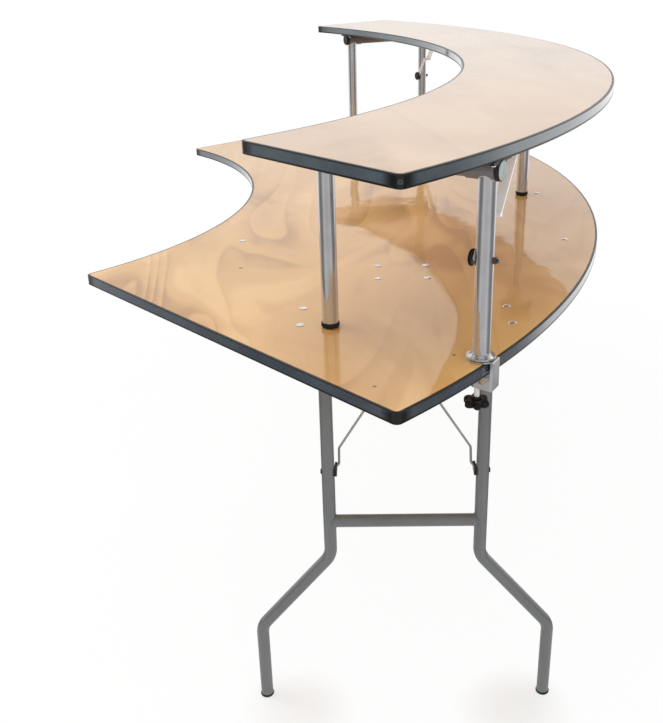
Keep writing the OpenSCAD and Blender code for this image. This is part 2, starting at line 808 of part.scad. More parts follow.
// Tube that a frame turns on, with a welded sleeve over each post
module top_tube_body(x0, x1, sleeves) {
    difference() {
        union() {
            translate([x0, 0, tube_z]) rotate([0, 90, 0]) cylinder(h = x1 - x0, r = post_r);
            for (s = sleeves) translate([s[0], 0, tube_z]) rotate([0, 90, 0])
                cylinder(h = s[1] - s[0], r = sleeve_r);
        }
        translate([x0 - 1, 0, tube_z]) rotate([0, 90, 0])
            cylinder(h = x1 - x0 + 2, r = post_r - post_wall);
    }
}

module end_top_tube(far) {
    near_edge = collar_out - side_gap;
    color("silver") on_frame(far) top_tube_body(-tube_stop, post_span + tube_stop, [
        [-near_edge, sleeve_l - near_edge],
        [post_span + near_edge - sleeve_l, post_span + near_edge]
    ]);
}

// Plugs that close the tube's ends
module end_plugs(far) {
    color([0.3, 0.3, 0.32]) on_frame(far) {
        plug(-tube_stop, -1);
        plug(post_span + tube_stop, 1);
    }
}

module plug(x, dir) {
    translate([dir > 0 ? x : x - plug_t, 0, tube_z]) rotate([0, 90, 0])
        cylinder(h = plug_t, r = post_r + plug_lip);
    translate([dir > 0 ? x - plug_l : x, 0, tube_z]) rotate([0, 90, 0])
        cylinder(h = plug_l, r = post_r - post_wall - fix_gap);
}

// Post that hangs from the tube, hollow and coped to the sleeve
module post_body(z0, bolted) {
    difference() {
        translate([0, 0, z0]) cylinder(h = tube_z - z0, r = post_r);
        translate([0, 0, z0 - 1]) cylinder(h = tube_z - z0, r = post_r - post_wall);
        x_bar([0, 0, tube_z], 4 * post_d, sleeve_r + fix_gap);
        if (bolted) x_bar([0, rbrace_c[0], rbrace_c[1]], 2 * post_d, rbolt_d / 2 + fix_gap);
    }
}

module inner_post_piece(far) {
    color("silver") on_frame(far) post_body(tip_bottom + tip_floor, false);
}

module outer_post_piece(far) {
    color("silver") on_outer_post(far) post_body(flange_top, true);
}

// Rubber cup under a post
module foot_tip_body() {
    r = post_r + tip_wall;
    difference() {
        translate([0, 0, tip_bottom]) rotate_extrude() polygon([
            [0, 0], [r - tip_chamfer, 0], [r, tip_chamfer], [r, tip_h], [0, tip_h]
        ]);
        translate([0, 0, tip_bottom + tip_floor]) cylinder(h = tip_h, r = post_r + fix_gap);
    }
}

module inner_foot_tip(far) {
    color([0.1, 0.1, 0.1]) on_frame(far) foot_tip_body();
}

// Places of the foot flange's screws, round the post
function flange_places() = [
    for (i = [0 : flange_screws - 1]) polar(flange_ring, flange_turn - i * 360 / flange_screws)
];

// Round plate welded under the outer post
module foot_flange(far) {
    color("silver") on_outer_post(far) difference() {
        translate([0, 0, flange_bottom]) cylinder(h = flange_t, r = flange_r);
        for (p = flange_places()) translate([p[0], p[1], flange_bottom - 1])
            cylinder(h = flange_t + 2, r = flange_screw_d / 2 + fix_gap);
    }
}

module flange_screw_set(far) {
    color("gainsboro") on_outer_post(far) for (p = flange_places()) translate(p) {
        translate([0, 0, flange_bottom]) cylinder(h = flange_t, r = flange_screw_d / 2);
        translate([0, 0, flange_top]) cylinder(h = flange_head_h, r = flange_head_d / 2);
    }
}

// Bolt through the post that the side link turns on, with its nut outside
module pivot_bolt_body() {
    head_x = -bolt_seat - rbolt_head_t;
    translate([0, rbrace_c[0], rbrace_c[1]]) rotate([0, 90, 0]) {
        translate([0, 0, head_x])
            cylinder(h = nut_seat + rnut_h + rbolt_past - head_x, r = rbolt_d / 2);
        translate([0, 0, nut_seat]) cylinder(h = rnut_h, r = rnut_r, $fn = 6);
        translate([0, 0, head_x]) cylinder(h = rbolt_head_t, r = rnut_r);
    }
}

module pivot_bolt(far) {
    color("dimgray") on_outer_post(far) pivot_bolt_body();
}

module pivot_cap(far) {
    x = -bolt_seat - rbolt_head_t - cap_h;
    color([0.1, 0.1, 0.1]) on_outer_post(far) translate([x, rbrace_c[0], rbrace_c[1]])
        rotate([0, 90, 0]) difference() {
            rotate_extrude() polygon([
                [0, 0], [cap_d / 2 - cap_round, 0], [cap_d / 2, cap_round],
                [cap_d / 2, cap_h + cap_lap], [0, cap_h + cap_lap]
            ]);
            translate([0, 0, cap_h]) cylinder(h = 2 * cap_lap, r = rnut_r + fix_gap);
        }
}

// Flat link on the post's inner side, with a short pin towards the strip
module side_links_body() {
    stub_end = strip_w / 2 + seat_gap;
    turn = atan2(rbrace_dir[1], rbrace_dir[0]);
    difference() {
        translate([-side_out, rbrace_c[0], rbrace_c[1]]) rotate([turn, 0, 0]) {
            translate([0, 0, -side_h / 2]) cube([side_t, side_len, side_h]);
            rotate([0, 90, 0]) cylinder(h = side_t, r = side_h / 2);
            translate([0, side_len, 0]) rotate([0, 90, 0]) cylinder(h = side_t, r = side_h / 2);
        }
        x_bar([0, rbrace_c[0], rbrace_c[1]], 3 * post_d, rbolt_d / 2 + run_gap);
    }
    translate([-side_x, rbrace_j[0], rbrace_j[1]]) rotate([0, 90, 0])
        cylinder(h = side_x - stub_end, r = rpin_d / 2);
}

// Upper strip with a rolled eye at each end
module top_link_body() {
    color("silver") difference() {
        translate([0, rbrace_b[0], rbrace_b[1]]) rotate([atan2(rbrace_dir[1], rbrace_dir[0]), 0, 0]) {
            translate([-strip_w / 2, -strip_len, -strip_t / 2])
                cube([strip_w, strip_len, strip_t]);
            for (y = [0, -strip_len]) translate([-strip_w / 2, y, 0]) rotate([0, 90, 0])
                cylinder(h = strip_w, r = eye_r);
        }
        x_bar([0, rbrace_b[0], rbrace_b[1]], 2 * strip_w, rpin_d / 2 + run_gap);
    }
}

module mid_top_tube() {
    color("silver") on_mid() top_tube_body(-mid_tube_half, mid_tube_half,
        [[-sleeve_l / 2, sleeve_l / 2]]);
}

// Back and lower jaw of the clamp from the side; the lower jaw rises towards the back
module clamp_side(x1) {
    arm_x = screw_x + pad_d / 2 + 1;
    translate([back_x, low_jaw_bottom + clamp_round])
        square([back_t, jaw_top - low_jaw_bottom - 2 * clamp_round]);
    polygon([
        [screw_x - boss_r, low_jaw_bottom], [x1 - clamp_round, low_jaw_bottom],
        [x1 - clamp_round, low_jaw_top + arm_rise], [back_x, low_jaw_top + arm_rise],
        [arm_x, low_jaw_top], [screw_x - boss_r, low_jaw_top]
    ]);
    for (z = [low_jaw_bottom + clamp_round, jaw_top - clamp_round])
        translate([x1 - clamp_round, z]) circle(r = clamp_round);
}

// The same from above: a boss round the screw that widens to the back
module clamp_plan(x1) {
    translate([screw_x, 0]) circle(r = boss_r);
    polygon([
        [screw_x, -boss_r], [back_x, -clamp_w / 2], [x1 + 1, -clamp_w / 2],
        [x1 + 1, clamp_w / 2], [back_x, clamp_w / 2], [screw_x, boss_r]
    ]);
}

// Aluminium bracket that grips the table's edge, with a round plate on top
module clamp_body(far) {
    x1 = back_x + back_t;
    color("silver") on_outer_post(far) difference() {
        union() {
            intersection() {
                translate([0, clamp_w, 0]) rotate([90, 0, 0])
                    linear_extrude(height = 2 * clamp_w) clamp_side(x1);
                translate([0, 0, low_jaw_bottom - 1])
                    linear_extrude(height = jaw_top - low_jaw_bottom + 2) clamp_plan(x1);
            }
            translate([0, 0, jaw_z]) linear_extrude(height = jaw_t) {
                circle(r = flange_r);
                translate([0, -clamp_w / 2]) square([x1 - clamp_round, clamp_w]);
            }
        }
        translate([screw_x, 0, low_jaw_bottom - 1])
            cylinder(h = low_jaw_t + 2, r = screw_d / 2 + run_gap);
        for (p = flange_places()) translate([p[0], p[1], jaw_z - 1])
            cylinder(h = jaw_t + 2, r = flange_screw_d / 2 + fix_gap);
    }
}

module clamp_pad(far) {
    color([0.35, 0.35, 0.36]) on_outer_post(far) translate([screw_x, 0, pad_bottom]) difference() {
        cylinder(h = pad_h, r = pad_d / 2);
        translate([0, 0, -1]) cylinder(h = pad_h / 2 + 1 + seat_gap, r = screw_d / 2 + run_gap);
    }
}

module clamp_screw(far) {
    color("silver") on_outer_post(far) translate([screw_x, 0, knob_top - knob_h / 2])
        cylinder(h = screw_top - knob_top + knob_h / 2, r = screw_d / 2);
}

// Star knob with round lobes and a hub
module clamp_knob(far) {
    color([0.08, 0.08, 0.08]) on_outer_post(far)
        translate([screw_x, 0, knob_top - knob_h]) difference() {
        union() {
            cylinder(h = knob_h - hub_h, r = knob_core_r);
            cylinder(h = knob_h, r = hub_r);
            for (i = [0 : knob_lobes - 1]) rotate([0, 0, i * 360 / knob_lobes])
                translate([knob_d / 2 - lobe_r, 0, 0]) cylinder(h = knob_h - hub_h, r = lobe_r);
        }
        translate([0, 0, knob_h / 2]) cylinder(h = knob_h, r = screw_d / 2 + fix_gap);
    }
}

table_top();
table_edge_band();
hinge_saddles();
brace_brackets();
table_bolts();
hinge_tube(false);  // near_hinge_tube
leg_tubes(false);  // near_leg_tubes
crossbar(false);  // near_crossbar
leg_glides(false);  // near_leg_glides
brace_clips(false);  // near_brace_clips
brace_wires(false);  // near_brace_wires
brace_links(false);  // near_brace_links
hinge_tube(true);  // far_hinge_tube
leg_tubes(true);  // far_leg_tubes
crossbar(true);  // far_crossbar
leg_glides(true);  // far_leg_glides
brace_clips(true);  // far_brace_clips
brace_wires(true);  // far_brace_wires
brace_links(true);  // far_brace_links
riser_top();
riser_edge_band();
riser_saddles();
riser_brackets();
riser_screws();
end_top_tube(false);  // near_top_tube
end_plugs(false);  // near_end_plugs
inner_post_piece(false);  // near_inner_post
outer_post_piece(false);  // near_outer_post
inner_foot_tip(false);  // near_foot_tip
foot_flange(false);  // near_foot_flange
flange_screw_set(false);  // near_flange_screws
pivot_bolt(false);  // near_pivot_bolt
pivot_cap(false);  // near_pivot_cap
color("silver") on_outer_post(false) side_links_body();  // near_side_links
on_outer_post(false) top_link_body();  // near_top_link
end_top_tube(true);  // far_top_tube
end_plugs(true);  // far_end_plugs
inner_post_piece(true);  // far_inner_post
outer_post_piece(true);  // far_outer_post
inner_foot_tip(true);  // far_foot_tip
foot_flange(true);  // far_foot_flange
flange_screw_set(true);  // far_flange_screws
pivot_bolt(true);  // far_pivot_bolt
pivot_cap(true);  // far_pivot_cap
color("silver") on_outer_post(true) side_links_body();  // far_side_links
on_outer_post(true) top_link_body();  // far_top_link
mid_top_tube();
color("silver") on_mid() post_body(tip_bottom + tip_floor, true);  // mid_post
color([0.1, 0.1, 0.1]) on_mid() foot_tip_body();  // mid_foot_tip
color("dimgray") on_mid() pivot_bolt_body();  // mid_pivot_bolt
color("silver") on_mid() side_links_body();  // mid_side_links
on_mid() top_link_body();  // mid_top_link
clamp_body(false);  // near_clamp_body
clamp_pad(false);  // near_clamp_pad
clamp_screw(false);  // near_clamp_screw
clamp_knob(false);  // near_clamp_knob
clamp_body(true);  // far_clamp_body
clamp_pad(true);  // far_clamp_pad
clamp_screw(true);  // far_clamp_screw
clamp_knob(true);  // far_clamp_knob
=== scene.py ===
"""A curved bar table with a raised shelf on posts: its surfaces, finishes, floor, light and camera."""

import json
import logging
import math
from dataclasses import dataclass, replace
from enum import Enum

import bmesh
import bpy
import numpy as np
from mathutils import Matrix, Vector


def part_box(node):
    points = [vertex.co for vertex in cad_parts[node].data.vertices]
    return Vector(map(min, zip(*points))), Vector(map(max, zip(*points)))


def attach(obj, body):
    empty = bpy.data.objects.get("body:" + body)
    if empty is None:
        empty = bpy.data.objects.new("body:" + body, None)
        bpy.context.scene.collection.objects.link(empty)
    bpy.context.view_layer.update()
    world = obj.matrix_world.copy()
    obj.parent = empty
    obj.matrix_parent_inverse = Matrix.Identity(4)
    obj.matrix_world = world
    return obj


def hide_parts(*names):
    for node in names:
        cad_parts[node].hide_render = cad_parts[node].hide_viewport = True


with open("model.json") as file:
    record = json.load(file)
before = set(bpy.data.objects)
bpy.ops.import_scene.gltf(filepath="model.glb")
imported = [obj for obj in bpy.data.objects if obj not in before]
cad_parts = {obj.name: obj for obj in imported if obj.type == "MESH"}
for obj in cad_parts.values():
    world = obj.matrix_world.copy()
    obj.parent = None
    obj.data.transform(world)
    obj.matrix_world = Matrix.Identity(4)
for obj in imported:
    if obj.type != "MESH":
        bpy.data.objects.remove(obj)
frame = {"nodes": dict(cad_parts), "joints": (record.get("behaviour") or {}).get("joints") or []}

Array = np.ndarray
Piece = bpy.types.Object
Tree = bpy.types.NodeTree
Socket = bpy.types.NodeSocket
Feed = Socket | float | tuple

UP = np.array([0.0, 0.0, 1.0])
ALONG = np.array([1.0, 0.0, 0.0])
MM = 0.001
MERGE = 2e-6
WHITE = (1.0, 1.0, 1.0)
log = logging.getLogger("bar_table")


class Half(Enum):
    """The two halves of the table, which mirror each other."""

    NEAR = "near"
    FAR = "far"

    @property
    def sign(self) -> float:
        """The sign of y that points from this half's end to the middle of the table."""
        return 1.0 if self is Half.NEAR else -1.0


class Slot(Enum):
    """The record's material slots."""

    TABLE_WOOD = "table_wood"
    SHELF_WOOD = "shelf_wood"
    EDGE_BAND = "edge_band"
    LEG_METAL = "leg_metal"
    CHROME = "chrome"
    BRIGHT_STEEL = "bright_steel"
    BLACK_STEEL = "black_steel"
    ALUMINIUM = "aluminium"
    RUBBER = "rubber"
    BLACK_PLASTIC = "black_plastic"
    GREY_PLASTIC = "grey_plastic"


def unit(vector: Array) -> Array:
    """The vector at length one, along its last axis."""
    return vector / np.linalg.norm(vector, axis=-1, keepdims=True)


def joint_value(name: str, key: str) -> Array:
    """Three numbers of a joint's row in the record: its place in metres or its axis."""
    return np.array(next(row[key] for row in frame["joints"] if row["name"] == name), float)


@dataclass(frozen=True)
class Station:
    """A place that pieces are drawn from, with its own axes.

    Local x runs along right, local y along fold and local z straight up from the floor, all in millimetres.
    """

    origin: Array
    right: Array
    fold: Array

    def place(self, local: Array) -> Array:
        """Takes local millimetres to metres in the part's frame: origin + x right + y fold + z up."""
        return self.origin + MM * np.asarray(local, float) @ np.stack([self.right, self.fold, UP])

    def shifted(self, along: float) -> "Station":
        """The same axes from a place that lies further along right, in millimetres."""
        return Station(self.origin + along * MM * self.right, self.right, self.fold)


def arc_centre_station() -> Station:
    """The centre of the arcs, which the shelf's outer edge gives."""
    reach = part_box("riser_edge_band")[1].x - BarShelf.outer_r * MM
    return Station(reach * ALONG, ALONG, np.array([0.0, 1.0, 0.0]))


def leg_station(half: Half) -> Station:
    """A leg's hinge line: right runs along the hinge and fold towards the table's middle."""
    at = joint_value(f"{half.value}_leg_fold", "pos_m")
    return Station(at * [1, 1, 0], ALONG, np.array([0.0, half.sign, 0.0]))


def outer_post_station(half: Half) -> Station:
    """An end frame's outer post: right runs outwards along the top tube.

    Args:
        half: The table's half.

    Returns:
        The station.
    """
    joint = f"{half.value}_frame_fold"
    right = half.sign * joint_value(joint, "axis")
    fold = half.sign * np.array([-right[1], right[0], 0.0])
    return Station(joint_value(joint, "pos_m") * [1, 1, 0], right, fold)


def middle_post_station() -> Station:
    """The middle post, which folds along the shelf."""
    at = joint_value("mid_frame_fold", "pos_m")
    return Station(at * [1, 1, 0], ALONG, np.array([0.0, 1.0, 0.0]))


def across(axis: Array) -> tuple[Array, Array]:
    """Two unit vectors square to an axis and to each other.

    Args:
        axis: The axis, at any length.

    Returns:
        A level side vector, unless the axis is upright, and the cross product of the axis with it.
    """
    axis = unit(np.asarray(axis, float))
    helper = UP if abs(axis[2]) < 0.9 else ALONG
    side = unit(np.cross(helper, axis))
    return side, np.cross(axis, side)


def turns(count: int) -> Array:
    """Angles of a whole turn in equal steps."""
    return 2 * math.pi * np.arange(count) / count


def eased(corners: list, radius: float, steps: int = 4) -> Array:
    """A line through corners with each inner corner rounded.

    A corner P with sides along a and b becomes the curve P + d ((1 - t)^2 a + t^2 b) for t from 0 to 1,
    which leaves the sides at the distance d = radius, or at 0.45 of the shorter side.

    Args:
        corners: Points in two or three dimensions.
        radius: How far from a corner the curve begins.
        steps: Pieces of each curve.

    Returns:
        The rounded line's points.
    """
    points = np.asarray(corners, float)
    before = np.roll(points, 1, 0) - points
    after = np.roll(points, -1, 0) - points
    reach_before = np.linalg.norm(before, axis=1)
    reach_after = np.linalg.norm(after, axis=1)
    reach = np.minimum(radius, 0.45 * np.minimum(reach_before, reach_after))
    reach[[0, -1]] = 0
    reach_before[0] = reach_after[-1] = 1
    t = np.linspace(0, 1, steps + 1)[None, :, None]
    a = (before / reach_before[:, None])[:, None]
    b = (after / reach_after[:, None])[:, None]
    curve = points[:, None] + reach[:, None, None] * ((1 - t) ** 2 * a + t**2 * b)
    line = curve.reshape(-1, points.shape[1])
    return line[steps : len(line) - steps]


def bent(corners: list, radius: float, steps: int = 12) -> Array:
    """A tube's centre line through corners, with a true arc of the bend radius at each inner corner.

    An arc starts at radius tan(turn / 2) before its corner, and its points are start + radius (sin t a +
    (1 - cos t) inward), where a is the first side's direction and inward is square to it.

    Args:
        corners: Points in three dimensions.
        radius: Radius of each bend.
        steps: Pieces of each arc.

    Returns:
        The centre line's points.
    """
    points = np.asarray(corners, float)
    line = [points[:1]]
    for before, corner, after in zip(points[:-2], points[1:-1], points[2:]):
        a = unit(corner - before)
        b = unit(after - corner)
        turn = math.acos(np.clip(a @ b, -1, 1))
        start = corner - radius * math.tan(turn / 2) * a
        inward = unit(b - a * (a @ b))
        t = np.linspace(0, turn, steps + 1)[:, None]
        line.append(start + radius * (np.sin(t) * a + (1 - np.cos(t)) * inward))
    line.append(points[-1:])
    return np.concatenate(line)


def turned(profile: Array, base: Array, axis: Array, segments: int) -> Array:
    """Rings of a turned form: base + height axis + radius (cos t side + sin t other).

    Args:
        profile: Rows of radius and height.
        base: Where height is zero, in local millimetres.
        axis: The direction of height.
        segments: Points round each ring.

    Returns:
        Points in rows of rings.
    """
    profile = np.asarray(profile, float)
    side, other = across(axis)
    t = turns(segments)[:, None]
    radial = np.cos(t) * side + np.sin(t) * other
    lift = profile[:, 1][:, None, None] * unit(np.asarray(axis, float))
    return np.asarray(base, float) + lift + profile[:, 0][:, None, None] * radial


def pipe(line: Array, radius: float | Array, plane: Array, segments: int) -> Array:
    """Rings of a round bar along a flat centre line: point + radius (cos t plane + sin t side).

    Side is the cross product of the plane's normal with the line's tangent.

    Args:
        line: The centre line's points.
        radius: One radius, or one for each point.
        plane: The unit normal of the plane that the line lies in.
        segments: Points round each ring.

    Returns:
        Points in rows of rings.
    """
    tangent = unit(np.gradient(line, axis=0))
    normal = np.broadcast_to(np.asarray(plane, float), line.shape)
    side = unit(np.cross(normal, tangent))
    t = turns(segments)[None, :, None]
    size = np.broadcast_to(np.asarray(radius, float), len(line))[:, None, None]
    return line[:, None] + size * (np.cos(t) * normal[:, None] + np.sin(t) * side[:, None])


def bead(line: Array, out: Array, size: Array) -> Array:
    """Rings of a weld bead along a closed line: point + size (cos s out + sin s (tangent x out)).

    Args:
        line: The bead's centre line.
        out: Directions away from the weld; each is made square to the line.
        size: The bead's radius at each point, as a column.

    Returns:
        Points in rows of rings.
    """
    tangent = unit(np.roll(line, -1, 0) - np.roll(line, 1, 0))
    out = unit(out - tangent * (out * tangent).sum(1, keepdims=True))
    other = np.cross(tangent, out)
    s = turns(10)[None, :, None]
    return line[:, None] + size[:, None] * (np.cos(s) * out[:, None] + np.sin(s) * other[:, None])


def lifted(flat: Array, profile: Array) -> Array:
    """Rings at heights: flat outlines, one for each row of a profile, set at the row's height.

    Args:
        flat: Rows of flat points.
        profile: Rows whose second number is the height.

    Returns:
        Points in rows of rings.
    """
    height = np.broadcast_to(profile[:, 1][:, None, None], flat.shape[:2] + (1,))
    return np.concatenate([flat, height], -1)


def cup(reach: float, tube_r: float, height: float, chamfer: float) -> list:
    """The profile of a cup on a tube's end, as rows of radius and height: chamfered below, eased above.

    Args:
        reach: The cup's outer radius.
        tube_r: The tube's radius.
        height: The cup's height.
        chamfer: Width of the lower chamfer.

    Returns:
        Rows of radius and height.
    """
    return [
        (0, 0), (reach - chamfer, 0), (reach, chamfer),
        (reach, height - 0.6), (reach - 0.5, height), (tube_r - 0.2, height),
    ]


class Skin:
    """Gathers the surfaces of one piece and closes them into one mesh."""

    def __init__(self, station: Station) -> None:
        """Starts an empty piece.

        Args:
            station: Where the piece is drawn from.
        """
        self.station = station
        self.points: list[Array] = []
        self.faces: list[list[int]] = []
        self.count = 0

    def sheet(self, grid: Array, along: bool = False) -> "Skin":
        """Adds quads over rows of points that close on themselves.

        Args:
            grid: Rows of points in local millimetres.
            along: Whether the last row joins the first one.

        Returns:
            The same skin.
        """
        rows, columns = grid.shape[:2]
        index = np.arange(rows * columns).reshape(rows, columns) + self.count
        index = np.concatenate([index, index[:, :1]], 1)
        if along:
            index = np.concatenate([index, index[:1]], 0)
        quads = np.stack([index[:-1, :-1], index[1:, :-1], index[1:, 1:], index[:-1, 1:]], -1)
        self.faces.extend(quads.reshape(-1, 4).tolist())
        self.points.append(self.station.place(grid.reshape(-1, 3)))
        self.count += rows * columns
        return self

    def solid(self, rings: Array) -> "Skin":
        """Adds a closed form of rings, with a flat lid on its first and its last ring.

        Args:
            rings: Points in rows of rings.

        Returns:
            The same skin.
        """
        first = self.count
        self.sheet(rings)
        size = rings.shape[1]
        self.faces.append(list(range(first, first + size)))
        self.faces.append(list(range(self.count - size, self.count)))
        return self

    def spin(
        self, profile: list, base: Array, axis: Array, segments: int, ease: float = 0.0, steps: int = 3
    ) -> "Skin":
        """Adds a closed turned form.

        Args:
            profile: Rows of radius and height.
            base: Where height is zero, in local millimetres.
            axis: The direction of height.
            segments: Points round each ring.
            ease: How far from its corners the profile is rounded.
            steps: Pieces of each rounding.

        Returns:
            The same skin.
        """
        rows = eased(profile, ease, steps) if ease > 0 else profile
        return self.solid(turned(rows, base, axis, segments))

    def mesh(self, name: str, sharp: float = 32.0) -> Piece:
        """Makes the object, with doubled points merged and normals outwards.

        Args:
            name: The object's name.
            sharp: Edges over this angle in degrees stay sharp.

        Returns:
            The new object, at the origin.
        """
        data = bpy.data.meshes.new(name)
        data.from_pydata(np.concatenate(self.points).tolist(), [], self.faces)
        shell = bmesh.new()
        shell.from_mesh(data)
        bmesh.ops.remove_doubles(shell, verts=shell.verts, dist=MERGE)
        bmesh.ops.recalc_face_normals(shell, faces=shell.faces)
        shell.to_mesh(data)
        shell.free()
        return smoothed(name, data, sharp)


def smoothed(name: str, data: bpy.types.Mesh, sharp: float) -> Piece:
    """Makes an object for a mesh, shaded smooth.

    Args:
        name: The object's name.
        data: Its mesh.
        sharp: Edges over this angle in degrees stay sharp.

    Returns:
        The new object, at the origin.
    """
    data.shade_smooth()
    data.set_sharp_from_angle(angle=math.radians(sharp))
    piece = bpy.data.objects.new(name, data)
    bpy.context.scene.collection.objects.link(piece)
    return piece


def eased_copy(node: str, name: str, width: float) -> Piece:
    """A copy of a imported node's mesh with its loose triangles merged and its edges rounded.

    Args:
        node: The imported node.
        name: The new piece's name.
        width: Width of the rounded edges in millimetres.

    Returns:
        The new object.
    """
    data = frame["nodes"][node].data.copy()
    data.name = name
    shell = bmesh.new()
    shell.from_mesh(data)
    bmesh.ops.remove_doubles(shell, verts=shell.verts, dist=MERGE)
    flat = math.radians(0.6)
    bmesh.ops.dissolve_limit(shell, angle_limit=flat, verts=shell.verts, edges=shell.edges)
    shell.to_mesh(data)
    shell.free()
    piece = smoothed(name, data, 34.0)
    bevel = piece.modifiers.new("rounded edges", "BEVEL")
    bevel.width = width * MM
    bevel.segments = 2
    bevel.limit_method = "ANGLE"
    bevel.angle_limit = math.radians(40)
    return piece


def fit(piece: Piece, body: str, finish: "Finish", *nodes: str, slot: Slot | None = None) -> None:
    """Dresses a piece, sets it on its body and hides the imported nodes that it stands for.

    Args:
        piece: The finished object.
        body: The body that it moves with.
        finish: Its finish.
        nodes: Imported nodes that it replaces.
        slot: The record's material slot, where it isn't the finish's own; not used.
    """
    piece.data.materials.clear()
    piece.data.materials.append(finish.material())
    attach(piece, body)
    if nodes:
        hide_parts(*nodes)


def fit_copy(node: str, name: str, body: str, finish: "Finish", width: float = 0.5) -> None:
    """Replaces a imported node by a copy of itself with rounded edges.

    Args:
        node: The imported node.
        name: The new piece's name.
        body: The body that it moves with.
        finish: Its finish.
        width: Width of the rounded edges in millimetres.
    """
    fit(eased_copy(node, name, width), body, finish, node)


def dress_board(node: str, finish: "Finish") -> None:
    """Gives a packed board its finish.

    Args:
        node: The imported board.
        finish: Its finish.
    """
    materials = frame["nodes"][node].data.materials
    materials.clear()
    materials.append(finish.material())


def new_node(tree: Tree, kind: str, feeds: dict | None = None, **settings: str) -> bpy.types.Node:
    """Adds a node to a material's or the world's tree.

    Args:
        tree: The tree.
        kind: The node's kind.
        feeds: What its inputs get, by name or number: a socket is linked, and a number, colour or place set.
        settings: The node's own settings.

    Returns:
        The node.
    """
    node = tree.nodes.new(f"ShaderNode{kind}")
    for name, value in settings.items():
        setattr(node, name, value)
    for name, value in (feeds or {}).items():
        feed(tree, value, node.inputs[name])
    return node


def feed(tree: Tree, value: Feed, target: Socket) -> None:
    """Links a socket to an input, or sets the input to a number, a colour or a place.

    Args:
        tree: The tree of both.
        value: The socket or the value.
        target: The input.
    """
    if isinstance(value, Socket):
        tree.links.new(value, target)
    elif target.type == "RGBA":
        target.default_value = (*value, 1.0)
    else:
        target.default_value = value


def colour_ramp(tree: Tree, value: Socket, stops: list, easing: str) -> Socket:
    """Colours by a value from 0 to 1.

    Args:
        tree: The tree.
        value: The value.
        stops: Rows of position and colour.
        easing: How the colours blend between the stops.

    Returns:
        The colour.
    """
    node = new_node(tree, "ValToRGB", {"Fac": value})
    node.color_ramp.interpolation = easing
    elements = node.color_ramp.elements
    while len(elements) < len(stops):
        elements.new(0.5)
    for element, (position, colour) in zip(elements, stops):
        element.position = position
        element.color = (*colour, 1.0)
    return node.outputs["Color"]


